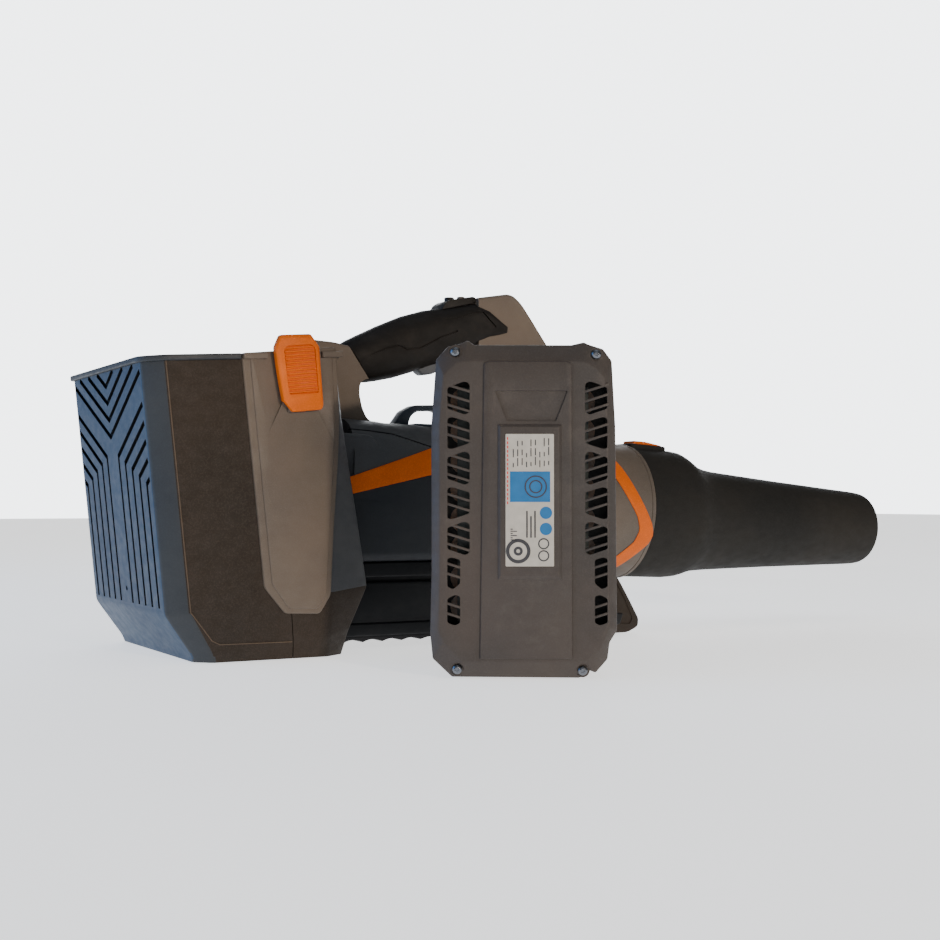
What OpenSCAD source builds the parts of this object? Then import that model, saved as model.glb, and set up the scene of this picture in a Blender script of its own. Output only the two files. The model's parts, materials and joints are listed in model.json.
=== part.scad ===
/* Battery leaf blower with its battery pack lifted out and standing beside it.
   X runs along the machine towards the nozzle, Z is up, the floor is Z = 0,
   and the origin is the middle of the battery bay's flat underside. */

/* [Battery bay] */
// Outside length of the bay, front to back
bay_len = 182; // [176:1:188]
// Outside width of the bay
bay_w = 250; // [244:1:260]
// Height of the bay's walls along their lean
bay_h = 252; // [240:1:262]
// How far the bay leans back from upright, in degrees
bay_lean = 6; // [3:0.5:8]
// Thickness of the bay's outer walls
bay_wall = 4; // [3:0.5:5]

/* [Fan duct and nozzle] */
// Outside radius of the fan housing
housing_r = 69; // [69:0.5:72]
// Bore radius of the fan housing
bore_r = 64; // [63:0.5:64]
// How far the duct points down, in degrees
duct_tilt = 3.4; // [2:0.1:5]
// Length of the nozzle in front of the collar
nozzle_len = 305; // [260:5:360]
// Outside radius of the nozzle's mouth
mouth_r = 40.5; // [39.5:0.5:44]
// Wall thickness of the nozzle
nozzle_wall = 2.5; // [2:0.1:3]

/* [Handle] */
// Half the width of the handle's hard core
core_half = 19; // [17:0.5:21]
// Thickness of the soft grip over the core
grip_skin = 3.5; // [2.5:0.1:4]

/* [Battery pack] */
// Width of the pack's vented face
pack_w = 138.5; // [132:0.5:142]
// Depth of the pack behind that face
pack_d = 190; // [180:1:196]
// Height of the pack
pack_h = 250; // [244:1:252]
// Cells along the pack's height
cell_rows = 9; // [7:1:9]

/* [Motion] */
// Travel of the press buttons
button_travel = 2; // [1:0.25:3]
// Clearance between running pieces
run_gap = 0.4; // [0.3:0.05:0.6]

/* [Hidden] */
$fn = 64;

big = 900;
eps = 0.05;
orange = [0.92, 0.42, 0.03];
warm_grey = [0.43, 0.38, 0.33];
dark_brown = [0.23, 0.19, 0.16];
blue_black = [0.22, 0.25, 0.30];
near_black = [0.12, 0.11, 0.10];
steel = [0.72, 0.72, 0.74];

// Bay outline, in the bay's own leaning frame
u_rear = -84.5;
u_front = u_rear + bay_len;
front_lean = 3.9;
front_w = 50;
u_seam = 20;
u_arm = -3;
flank_low = 57;
flank_slope = 0.105;
half_w = bay_w / 2;
arm_t = 6;
rim_slope = 3.5;
rim_t = 5;
rim_out = 5;
cham_u = 17;
cham_y = 13;
groove_w = 5;
groove_deep = 2.4;
groove_rise = 0.46;
groove_end = half_w - cham_y - 6;

// Duct frame: local Z runs along the duct to the mouth, local -X is the duct's top
duct_x = 443;
duct_z = 121;
collar_len = 22;
sleeve_r = housing_r - 0.8;
skirt_r = housing_r - 2.8;
skirt_len = 17;
lock_from = -9;
lock_len = 40;
lock_w = 20;
lock_travel = 1.5;
lock_lift = 0.4;
stripe_t = 1.6;
tube_back = -372;
motor_r = 27;
shaft_r = 4;
blade_r = 59.4;
duct_r_in = 60.5;
fan_s = -190;
motor_s = -152;
motor_len = 72;
board_s = -342;

// Handle outlines in the XZ plane
body_top = 204;
core_top = [[60, 283], [96, 281.5], [115, 277], [145, 291.5], [177, 306.5], [209, 315.5], [246, 320]];
trigger_x = 244;
trigger_z = 286;

// Pack frame: standing on the floor, its vented face turned to -Y by the pack's own turn
pack_x = 118;
pack_y = -336;
pack_turn = -28;
cover_t = 22;
corner = 12;
cell_r = 10.5;
cell_pitch = 22.4;
cell_len = 70;

// Latch pivot in the bay's frame
latch_u = 43;
latch_w = 39;
latch_pin_w = 208.5;
latch_pin_y = half_w + 4.2;
lug_from = 7.5;
lug_t = 4;
spring_gap = 2.6;
lug_r = 3.6;
pin_r = 2;
barrel_r = 3.9;

module in_bay() rotate([0, -bay_lean, 0]) children();
module in_duct() translate([duct_x, 0, duct_z]) rotate([0, 90 + duct_tilt, 0]) children();
module in_pack() translate([pack_x, pack_y, 0]) rotate([0, 0, pack_turn]) children();
module slab(half) rotate([90, 0, 0]) translate([0, 0, -half]) linear_extrude(2 * half) children();
module ring(r_out, r_in, len) difference() {
    cylinder(r = r_out, h = len);
    translate([0, 0, -1]) cylinder(r = r_in, h = len + 2);
}
module left_half() intersection() {
    children();
    translate([-big / 2, 0, -big / 2]) cube(big);
}
module right_half() intersection() {
    children();
    translate([-big / 2, -big, -big / 2]) cube(big);
}
module screw(r_head, r_shank, len) {
    difference() {
        cylinder(r = r_head, h = 3);
        translate([0, 0, 1.4]) cylinder(r = r_head * 0.42, h = 3, $fn = 6);
    }
    translate([0, 0, -len]) cylinder(r = r_shank, h = len + eps);
}
module coil(r, wire, len, turns) for (i = [0 : turns - 1])
    translate([0, 0, wire + i * (len - 2 * wire) / (turns - 1)])
        rotate_extrude() translate([r, 0]) circle(r = wire, $fn = 16);

// ---- Battery bay ----

// Where each flank ends and the slanted front corner begins, at a height in the bay's frame
function flank_end(w) = flank_low + (w - front_w) * flank_slope;
// Plan of the bay at that height, drawn in by rear, side and front
function bay_plan(rear, side, front, w) = [
    [u_front - front, -half_w + 30 + side], [flank_end(w), -half_w + side],
    [u_rear + cham_u + rear * 0.8, -half_w + side], [u_rear + rear, -half_w + cham_y + side],
    [u_rear + rear, half_w - cham_y - side], [u_rear + cham_u + rear * 0.8, half_w - side],
    [flank_end(w), half_w - side], [u_front - front, half_w - 30 - side]];
// How far the front wall stands back from its lowest line, at a height in the bay's frame
function front_step(w) = (w - front_w) * tan(front_lean);

module bay_layer(rear, side, front, at, thick) translate([0, 0, at]) linear_extrude(thick)
    polygon(bay_plan(rear, side, front, max(at, front_w)));

// Outer form: straight walls above a tapered foot, cut flat at the floor and along the rim
module bay_form(inset) difference() {
    in_bay() {
        hull() {
            bay_layer(inset, inset, inset + front_step(bay_h + 20), bay_h + 20, 1);
            bay_layer(inset, inset, inset, front_w, 1);
        }
        hull() {
            bay_layer(inset, inset, inset, front_w - 1, 2);
            bay_layer(20 + inset, 4 + inset, 4 + inset, 14, 1);
        }
        hull() {
            bay_layer(20 + inset, 4 + inset, 4 + inset, 13, 2);
            bay_layer(26 + inset, 14 + inset, 14 + inset, -14, 1);
        }
    }
    translate([-big / 2, -big / 2, inset > 0 ? inset - big : -big]) cube(big);
    above_rim(0);
}
module above_rim(lift) translate([0, 0, bay_h + lift]) rotate([0, -rim_slope, 0])
    translate([-big / 2, -big / 2, 0]) cube(big);
module bay_side_of(u_from, u_to) intersection() {
    children();
    in_bay() translate([u_from, -big / 2, -50]) cube([u_to - u_from, big, big]);
}
// Shallow seat on each flank that the grey side arms fill
module arm_outline(grow) polygon([
    [u_arm - grow, bay_h + 30], [u_arm - grow, 62], [u_arm + 16, 38 - grow],
    [44, 34 - grow], [flank_low - 2, front_w], [flank_end(bay_h + 30) - 2, bay_h + 30]]);
module arm_block(sign, from_y, to_y, grow) in_bay()
    translate([0, sign > 0 ? to_y : -from_y, 0]) rotate([90, 0, 0])
        linear_extrude(to_y - from_y) arm_outline(grow);
module bay_shell_body() difference() {
    bay_form(0);
    difference() {
        bay_form(bay_wall);
        translate([-big / 2, -big / 2, -big + 10]) cube(big);
    }
    for (sign = [-1, 1]) arm_block(sign, half_w - arm_t + 4, half_w + 10, 0);
    // passage for the cable through the front wall
    in_bay() translate([u_front - 30, 0, 40]) rotate([0, 90, 0]) cylinder(r = 8.2, h = 60);
}
// Groove between two points of the rear wall
module groove(y0, w0, y1, w1) translate([y0, w0]) rotate(atan2(w1 - w0, y1 - y0))
    translate([0, -groove_w / 2]) square([norm([y1 - y0, w1 - w0]), groove_w]);
// Nested chevrons under the rim, and below them lines that come in from each side and turn down
module rear_grooves() in_bay() translate([u_rear - 1, 0, 0]) rotate([90, 0, 90]) linear_extrude(1 + groove_deep)
    for (sign = [-1, 1]) {
        for (k = [0 : 3]) {
            reach = min(27 + 31 * k, groove_end);
            groove(0, 243 - 14.7 * k, sign * reach, 243 - 14.7 * k + groove_rise * reach);
        }
        for (k = [0 : 4]) {
            turn = 19 + 19.7 * k;
            elbow = 181.5 - 6.2 * k;
            groove(sign * turn, elbow, sign * groove_end, elbow + groove_rise * (groove_end - turn));
            groove(sign * turn, front_w + 4, sign * turn, elbow + groove_w / 2);
        }
    }
module bay_rear_shell() color(blue_black) difference() {
    bay_side_of(-200, u_seam) bay_shell_body();
    rear_grooves();
    bay_screw_holes();
}
module bay_front_shell() color(dark_brown) difference() {
    bay_side_of(u_seam + 0.1, 200) bay_shell_body();
    bay_screw_holes();
}
module bay_screw_places() in_bay() for (sign = [-1, 1]) for (w = [70, 130, 190])
    translate([u_seam + 8, sign * (half_w - arm_t + 4 - 0.5), w]) rotate([sign * -90, 0, 0]) children();
module bay_screw_holes() bay_screw_places() translate([0, 0, -20]) cylinder(r = 2.1, h = 30);
module bay_screws() color(steel) bay_screw_places() translate([0, 0, -3.6]) {
    cylinder(r = 2, h = 3.6);
    translate([0, 0, -6]) cylinder(r = 2, h = 6 + eps);
}
module bay_rim() color(blue_black) difference() {
    translate([0, 0, bay_h + eps]) rotate([0, -rim_slope, 0]) translate([-bay_h * tan(bay_lean - rim_slope) - 15, 0, 0])
        linear_extrude(rim_t) difference() {
            polygon(bay_plan(-rim_out, -rim_out, front_step(bay_h) + 0.6, bay_h));
            polygon(bay_plan(bay_wall + 3, bay_wall + 3, front_step(bay_h) + bay_wall + 3, bay_h));
        }
    in_bay() for (sign = [-1, 1]) translate([u_arm - 0.3, sign > 0 ? half_w - arm_t + 3.5 : -half_w - 20, bay_h - 40])
        cube([flank_end(bay_h) + 0.8 - u_arm, arm_t + 16.5, 80]);
}
module side_arm(sign) color(warm_grey) difference() {
    union() {
        difference() {
            arm_block(sign, half_w - arm_t + 4.05, half_w + 1, -0.1);
            above_rim(rim_t + 1);
            // hollow behind the latch's barrel
            in_bay() translate([latch_u - latch_w / 2, sign * latch_pin_y, latch_pin_w]) rotate([0, 90, 0])
                cylinder(r = barrel_r + run_gap, h = latch_w);
        }
        // lugs that carry the latch pin, hidden behind the latch
        in_bay() for (u = [latch_u - lug_from - lug_t, latch_u + lug_from])
            translate([u, sign * latch_pin_y, latch_pin_w]) hull() {
                rotate([0, 90, 0]) cylinder(r = lug_r, h = lug_t, $fn = 32);
                translate([0, sign * (half_w - 0.5 - latch_pin_y), -lug_r]) cube([lug_t, eps, 2 * lug_r]);
            }
    }
    in_bay() translate([latch_u - 30, sign * latch_pin_y, latch_pin_w]) rotate([0, 90, 0])
        cylinder(r = pin_r + eps, h = 60);
    translate([-big / 2, -big / 2, -big + 30]) cube(big);
}
module side_arm_left() side_arm(1);
module side_arm_right() side_arm(-1);

// Latch: a broad lever over its barrel, with a hook that reaches over the rim
module latch(sign) color(orange) in_bay() translate([latch_u, sign * latch_pin_y, latch_pin_w])
    mirror([0, sign > 0 ? 0 : 1, 0]) rotate([90, 0, 90]) difference() {
        union() {
            translate([0, 0, -latch_w / 2]) linear_extrude(latch_w) polygon([[3.9, -4.5], [6.6, -4.5],
                [7.4, 30], [6.2, 56], [3, 62], [-12, 62], [-12, 54.5], [-2.7, 54.5], [-2.7, 7], [3.9, 5]]);
            translate([0, 0, spring_gap - lug_from]) linear_extrude(2 * (lug_from - spring_gap)) {
                circle(r = barrel_r);
                polygon([[-barrel_r, 0], [4.5, 0], [4.5, 9], [-2.7, 9], [-2.7, 3.5]]);
            }
        }
        translate([0, 0, -latch_w]) cylinder(r = pin_r + eps, h = 2 * latch_w);
    }
module latch_left() latch(1);
module latch_right() latch(-1);
module latch_pins() color(steel) in_bay() for (sign = [-1, 1])
    translate([latch_u - lug_from - lug_t, sign * latch_pin_y, latch_pin_w]) rotate([0, 90, 0])
        cylinder(r = pin_r, h = 2 * (lug_from + lug_t));
module latch_springs() color(steel) in_bay() for (sign = [-1, 1])
    for (u = [latch_u - lug_from + 0.1, latch_u + lug_from - spring_gap + 0.1])
        translate([u, sign * latch_pin_y, latch_pin_w]) rotate([0, 90, 0]) coil(2.9, 0.45, 2.4, 3);

// Rails that centre the pack in the bay, and the terminal block it plugs on to
rail_y = pack_d / 2 + 1.5;
module bay_rails() color(near_black) intersection() {
    in_bay() for (sign = [-1, 1]) for (u = [-50, 0, 50])
        translate([u - 5, sign > 0 ? rail_y : -half_w, 10]) cube([10, half_w - rail_y, bay_h - 60]);
    bay_form(bay_wall + 0.2);
    translate([-big / 2, -big / 2, 10.1]) cube(big);
}
module bay_connector() color(near_black) {
    translate([-30, -25, 10.1]) cube([60, 50, 8]);
    for (y = [-15, -5, 5, 15]) translate([-12, y - 1, 18]) cube([24, 2, 12]);
}

// ---- Fan housing, handle and base ----

module hand_hole() slab(60) polygon([[127, body_top + 2], [123, 222], [124, 241], [129, 247.5],
    [153, 250.5], [185, 261.5], [206, 269.5], [236, 280.5], [256, 282], [270, 268], [298, 228], [312, body_top + 2]]);
module handle_side() polygon(concat(core_top, [[252, 331], [284, 337], [290, 335.5], [311, 312],
    [395, 190], [395, 150], [40, 150], [40, 283]]));
module tube_outside() in_duct() translate([0, 0, tube_back]) cylinder(r = housing_r, h = -tube_back - collar_len - 0.3);
module behind_bay(gap) in_bay() translate([u_front + gap, 0, front_w]) rotate([0, -front_lean, 0])
    translate([-big, -big / 2, -big / 2]) cube(big);
module housing_body() difference() {
    union() {
        tube_outside();
        slab(core_half) handle_side();
        slab(52) polygon([[40, 190], [122, 186], [152, 140], [122, 90], [40, 84]]);
    }
    hand_hole();
    behind_bay(0.2);
    in_duct() translate([0, 0, tube_back + 40]) cylinder(r = bore_r, h = 400);
    // board space behind the duct, and the air way down to the base
    in_duct() translate([-38, -38, tube_back + 2]) cube([76, 76, 60]);
    slab(40) polygon([[120, 40], [120, 110], [196, 110], [196, 40]]);
    // channel inside the handle, and the slot that the trigger works in
    slab(core_half - 5) polygon([[140, 256], [182, 270], [236, 288], [262, 292], [262, 312],
        [246, 312], [209, 308], [177, 298], [146, 282], [124, 268]]);
    slab(8.2) polygon([[187, 250], [187, 290], [253, 298], [253, 272]]);
    translate([trigger_x, 0, trigger_z]) rotate([90, 0, 0]) cylinder(r = pin_r + eps, h = 34, center = true);
    // channel that the cable rises through behind the duct
    slab(10) polygon([[84, 30], [84, 122], [118, 122], [118, 30]]);
    // pocket for the control panel and its switches
    slab(14.2) polygon([[216, 310], [216, 340], [250.5, 340], [250.5, 312]]);
    housing_screw_places() translate([0, 0, -50]) cylinder(r = 2, h = 60);
}
module housing_left() color(warm_grey) left_half() housing_body();
module housing_right() color(warm_grey) right_half() housing_body();
base_end = 384;
screw_xz = [[90, 268], [132, 256], [268, 318], [318, 275], [352, 225], [92, 215]];
module housing_screw_places() for (p = screw_xz)
    translate([p[0], -core_half + 3, p[1]]) rotate([90, 0, 0]) children();
module housing_screws() color(steel) for (p = screw_xz) translate([p[0], -core_half + 2.8, p[1]])
    rotate([-90, 0, 0]) {
        translate([0, 0, -2.6]) cylinder(r = 1.9, h = 2.6);
        cylinder(r = 1.9, h = 24);
    }

// Orange inlays: a wedge along each flank that ends in a pointed band at the collar
module stripe(sign) color(orange) intersection() {
    in_duct() translate([0, 0, tube_back]) ring(housing_r + stripe_t, housing_r + 0.05, -tube_back - skirt_len - 1);
    translate([0, sign > 0 ? 20 : -big - 20, -big / 2]) cube(big);
    rotate([90, 0, 0]) translate([0, 0, -100]) linear_extrude(200) union() {
        polygon([[88, 141], [92, 153], [215, 188], [215, 160]]);
        polygon([[356, 214], [372, 200], [391, 168], [423, 106], [420, 90], [383, 52], [370, 60], [402, 92],
            [405, 104], [377, 162], [350, 200]]);
    }
}
module stripe_left() stripe(1);
module stripe_right() stripe(-1);
// Collar, stepped down where the nozzle's skirt slides over it
module outlet_collar() color(warm_grey) in_duct() difference() {
    translate([0, 0, -collar_len]) ring(housing_r, bore_r, collar_len);
    translate([0, 0, -skirt_len - run_gap]) ring(housing_r + 1, skirt_r - run_gap, skirt_len + 2);
}

module base_body() difference() {
    slab(58) polygon([[84, 8], [84, 100], [base_end - 6, 84], [base_end - 1, 60], [base_end, 8]]);
    slab(54) polygon([[88, 12], [88, 110], [base_end - 11, 110], [base_end - 5, 60], [base_end - 4, 12]]);
    in_duct() translate([0, 0, tube_back - 30]) cylinder(r = housing_r + 0.3, h = 500);
    in_duct() translate([0, 0, -96]) cylinder(r = housing_r + stripe_t + 0.3, h = 120);
    slab(53) polygon([[40, 190], [122.3, 186], [153, 140], [122.3, 83.7], [40, 83.7]]);
    behind_bay(0.3);
    // rows of upright intake slots in both flanks
    for (i = [0 : 15]) translate([112 + i * 17, -70, 24]) cube([7, 140, 34]);
}
module base_skid() color(near_black) base_body();
module ribbed_sole() color(near_black) difference() {
    translate([90, -56, 1]) cube([290, 112, 6.9]);
    for (i = [0 : 14]) translate([96 + i * 20, -60, -0.5]) rotate([-90, 0, 0])
        cylinder(r = 6, h = 120, $fn = 24);
}
module front_foot() color(near_black) difference() {
    slab(44) polygon([[base_end + 0.4, 0], [base_end + 0.4, 62], [392, 61], [399, 51], [410, 33], [421, 14],
        [420, 5], [408, 0]]);
    slab(38) polygon([[base_end + 5, 6], [base_end + 5, 56], [394, 50], [405, 31], [415, 13], [412, 6]]);
    in_duct() translate([0, 0, -100]) cylinder(r = housing_r + 2.3, h = 300);
}
module strap_ring() color(near_black) {
    difference() {
        slab(5) polygon([[146, 203], [156, 217], [166, 224], [206, 224], [216, 217], [226, 203]]);
        slab(6) polygon([[162, 203], [167, 214], [172, 217], [200, 217], [205, 214], [210, 203]]);
        in_duct() translate([0, 0, tube_back]) cylinder(r = housing_r + 0.05, h = 400);
        slab(core_half + eps) polygon([[100, 150], [100, body_top + 2.05], [300, body_top + 2.05], [300, 150]]);
    }
}
module intake_screen() color(near_black) in_duct() translate([0, 0, fan_s - 34]) difference() {
    cylinder(r = bore_r - 0.1, h = 3);
    for (x = [-54 : 9 : 54]) for (y = [-54 : 9 : 54]) if (norm([x, y]) < 58)
        translate([x - 3.5, y - 3.5, -1]) cube([7, 7, 5]);
}

// ---- Fan and motor ----

module fan_duct() color(near_black) in_duct() translate([0, 0, fan_s - 30]) difference() {
    cylinder(r = bore_r - 0.1, h = -fan_s + 30 - skirt_len - 1);
    translate([0, 0, -1]) cylinder(r = duct_r_in, h = 300);
    translate([0, 0, -0.1]) cylinder(r1 = bore_r - 1.5, r2 = duct_r_in, h = 12);
}
module impeller() color([0.2, 0.2, 0.22]) in_duct() translate([0, 0, fan_s - 14]) difference() {
    union() {
        cylinder(r = 24, h = 30);
        intersection() {
            cylinder(r = blade_r, h = 30);
            for (i = [0 : 8]) rotate([0, 0, i * 40]) translate([22, 0, 15]) rotate([38, 0, 0])
                translate([0, -1.3, -19]) cube([40, 2.6, 38]);
        }
    }
    translate([0, 0, -1]) cylinder(r = shaft_r, h = 40);
    translate([0, 0, 6]) cylinder(r = 21, h = 30);
    translate([0, 0, 5.9]) cylinder(r = 9, h = 1);
}
module impeller_nut() color(steel) in_duct() translate([0, 0, fan_s - 20]) difference() {
    cylinder(r = 7, h = 5.9, $fn = 6);
    translate([0, 0, -1]) cylinder(r = shaft_r + 0.03, h = 8);
}
module motor_shaft() color(steel) in_duct() translate([0, 0, fan_s - 22]) cylinder(r = shaft_r, h = 124);
module motor_housing() color([0.6, 0.6, 0.62]) in_duct() translate([0, 0, motor_s]) difference() {
    cylinder(r = motor_r, h = motor_len);
    translate([0, 0, 10]) cylinder(r = motor_r - 2.5, h = motor_len);
    translate([0, 0, 3]) cylinder(r = 9, h = 8);
    translate([0, 0, -1]) cylinder(r = shaft_r + 1, h = 10);
}
module bearing(at) color(steel) in_duct() translate([0, 0, at]) difference() {
    cylinder(r = 9, h = 7);
    translate([0, 0, -1]) cylinder(r = shaft_r + 0.03, h = 9);
}
module bearing_front() bearing(motor_s + 56);
module bearing_rear() bearing(motor_s + 3);
module motor_stator() color([0.65, 0.42, 0.2]) in_duct() translate([0, 0, motor_s + 14]) difference() {
    cylinder(r = motor_r - 2.5, h = 38);
    translate([0, 0, -1]) cylinder(r = 14, h = 40);
    for (i = [0 : 11]) rotate([0, 0, i * 30]) translate([15.5, -1.6, -1]) cube([5.5, 3.2, 40]);
}
module motor_rotor() color([0.35, 0.35, 0.38]) in_duct() translate([0, 0, motor_s + 16]) difference() {
    cylinder(r = 13.4, h = 34);
    translate([0, 0, -1]) cylinder(r = shaft_r + 0.03, h = 40);
}
module guide_vanes() color(near_black) in_duct() translate([0, 0, motor_s + 20]) {
    ring(motor_r + 2, motor_r, 36);
    for (i = [0 : 6]) rotate([0, 0, i * 360 / 7]) translate([motor_r + 1, -1.1, 1])
        cube([duct_r_in - motor_r - 1.4, 2.2, 34]);
}
// Cone behind the motor; its plug closes the motor's can and seats the front bearing
module tail_cone() color(near_black) in_duct() translate([0, 0, motor_s + motor_len]) difference() {
    union() {
        rotate_extrude() polygon([[0, 0], [motor_r, 0], [motor_r - 3, 22], [motor_r - 11, 42], [6, 56], [0, 58]]);
        translate([0, 0, -18]) cylinder(r = motor_r - 2.6, h = 19);
    }
    rotate_extrude() polygon([[0, -1], [motor_r - 5, -1], [motor_r - 7, 22], [12, 40], [0, 48]]);
    translate([0, 0, -16]) cylinder(r = 9, h = 20);
    translate([0, 0, -20]) cylinder(r = shaft_r + 1, h = 20);
}
// ---- Electronics ----

module controller_board() color([0.1, 0.35, 0.2]) in_duct() translate([-30, -32, board_s]) cube([60, 64, 2]);
module controller_heatsink() color([0.7, 0.7, 0.72]) in_duct() translate([-26, -28, board_s + 2.1]) {
    cube([52, 56, 4]);
    for (i = [0 : 7]) translate([0, i * 7.6, 4 - eps]) cube([52, 2, 12]);
}
// Cable from the bay's terminal block, through the wall, to the controller
cable_path = [[32, 12], [58, 24], [79, 37], [103, 55], [106, 80], [101, 100]];
module power_cable() color(near_black) for (i = [0 : len(cable_path) - 2]) {
    a = cable_path[i];
    b = cable_path[i + 1];
    translate([a[0], 0, a[1] + 4]) rotate([0, 90 - atan2(b[1] - a[1], b[0] - a[0]), 0])
        cylinder(r = 4, h = norm(b - a));
    translate([b[0], 0, b[1] + 4]) sphere(r = 4.4);
}

// ---- Grip and controls ----

module grip_rubber() color(near_black) difference() {
    slab(core_half + grip_skin) polygon([[116, 281], [143, 295], [175, 310], [208, 319], [212, 319.6],
        [212, 315], [256, 316], [268, 316], [282, 303], [278, 296], [262, 290], [240, 277.5], [205, 266],
        [184, 258], [152, 247], [128, 244], [121, 256]]);
    slab(core_half + eps) polygon([[100, 200], [100, 283], [115, 277], [145, 291.5], [177, 306.5],
        [209, 315.5], [246, 320], [300, 320], [300, 240], [256, 282], [236, 280.5], [206, 269.5],
        [185, 261.5], [153, 250.5], [129, 247.5], [123, 240], [123, 200]]);
    slab(9) polygon([[186, 240], [186, 280], [253, 292], [253, 240]]);
}
module control_panel() color([0.08, 0.08, 0.09]) difference() {
    slab(14) polygon([[217, 316], [217, 326], [222, 330], [249, 333], [249.8, 330], [249.8, 316]]);
    translate([228, 0, 322]) cylinder(r = 5 + run_gap, h = 20);
    translate([241, 0, 322]) cylinder(r = 4 + run_gap, h = 20);
}
module power_button() color(orange) translate([228, 0, 323 + button_travel]) cylinder(r = 5, h = 7.2);
module boost_button() color([0.55, 0.55, 0.55]) translate([241, 0, 323 + button_travel]) cylinder(r = 4, h = 8.6);
module trigger() color(near_black) difference() {
    slab(7.6) polygon([[190, 263], [194, 256.5], [202, 255.5], [216, 261], [232, 268], [248, 279],
        [250, 288], [245, 291], [236, 287], [216, 276], [200, 272], [190, 270]]);
    translate([trigger_x, 0, trigger_z]) rotate([90, 0, 0]) cylinder(r = pin_r + eps, h = 40, center = true);
}
module trigger_pin() color(steel) translate([trigger_x, 0, trigger_z]) rotate([90, 0, 0])
    cylinder(r = pin_r, h = 33, center = true);
module trigger_spring() color(steel) translate([206, 0, 277]) coil(3, 0.5, 14, 6);
module trigger_switch() color([0.1, 0.1, 0.35]) slab(6) polygon([[196, 293], [196, 299], [220, 304], [220, 297]]);

// ---- Nozzle ----

module nozzle_outer() rotate_extrude() polygon(concat(
    [[0, -skirt_len], [sleeve_r, -skirt_len], [housing_r - 1.5, 42], [62, 56]],
    [for (i = [0 : 3]) [54 - i * 0.9 + 4 * pow(1 - i / 3, 2), 66 + i * 10]],
    [[mouth_r, nozzle_len - 20], [mouth_r, nozzle_len], [0, nozzle_len]]));
module nozzle_inner() rotate_extrude() polygon(concat(
    [[0, -30], [61, -30], [61, 38], [59, 52]],
    [for (i = [0 : 3]) [54 - i * 0.9 + 4 * pow(1 - i / 3, 2) - nozzle_wall, 66 + i * 10]],
    [[mouth_r - nozzle_wall, nozzle_len - 20], [mouth_r - nozzle_wall, nozzle_len + 1], [0, nozzle_len + 1]]));
module nozzle() color(near_black) in_duct() difference() {
    union() {
        nozzle_outer();
        translate([-housing_r - 3, -13, -skirt_len + 0.5]) cube([20, 26, skirt_len + 33]);
    }
    nozzle_inner();
    // gap between the skirt and the inner spigot, which the collar's step fills
    translate([0, 0, -skirt_len - 1]) ring(skirt_r, bore_r - 0.4, skirt_len + 1);
    // seat of the lock button
    translate([-housing_r - 4, -lock_w / 2 - run_gap, lock_from - run_gap])
        cube([9.3, lock_w + 2 * run_gap, lock_len]);
    translate([-housing_r - 4, 0, lock_from + 30]) rotate([0, 90, 0]) cylinder(r = 1.5, h = 16);
    translate([0, 0, -9]) difference() {
        cylinder(r = bore_r + 1, h = 3);
        translate([0, 0, -1]) cylinder(r = bore_r - 2.4, h = 5);
    }
}
module nozzle_seal() color([0.25, 0.25, 0.25]) in_duct() translate([0, 0, -8.9]) ring(bore_r - 0.35, bore_r - 2.35, 2.8);
module nozzle_lock_button() color(orange) in_duct() difference() {
    translate([-housing_r - 4.8 - lock_lift, -lock_w / 2, lock_from]) cube([4.8, lock_w, lock_len - 2 * run_gap]);
    translate([-housing_r - 6, 0, lock_from + 30]) rotate([0, 90, 0]) cylinder(r = 3.2, h = 8);
    // pocket that takes the spring as the button goes down
    translate([-housing_r - lock_lift - lock_travel - 0.1, 0, lock_from + 20]) rotate([0, 90, 0]) cylinder(r = 4, h = 8);
}
module lock_spring() color(steel) in_duct() translate([-housing_r - lock_lift + 0.05, 0, lock_from + 20])
    rotate([0, 90, 0]) coil(3, 0.4, 5.6, 4);
module lock_screw() color(steel) in_duct() translate([-housing_r + 2.6, 0, lock_from + 30]) rotate([0, -90, 0]) {
    cylinder(r = 2.4, h = 2.6);
    translate([0, 0, -4]) cylinder(r = 1.5, h = 4 + eps);
}

// ---- Battery pack, in its own frame: vented face at Y = 0, depth towards +Y ----

function pack_outline(inset) = [
    [-pack_w / 2 + inset, 20], [-pack_w / 2 + 18 + inset, inset], [pack_w / 2 - 25 - inset, inset],
    [pack_w / 2 - inset, 36], [pack_w / 2 - inset, pack_h - 16], [pack_w / 2 - corner - inset, pack_h - inset],
    [-pack_w / 2 + corner + inset, pack_h - inset], [-pack_w / 2 + inset, pack_h - 14]];
module pack_block(inset, from, to) translate([0, to, 0]) rotate([90, 0, 0]) linear_extrude(to - from)
    polygon(pack_outline(inset));
module pack_screw_places() for (p = [[-pack_w / 2 + 18, 6], [pack_w / 2 - 27, 6],
    [-pack_w / 2 + 20, pack_h - 6], [pack_w / 2 - 16, pack_h - 8]])
    translate([p[0], 4, p[1]]) rotate([90, 0, 0]) children();
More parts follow.
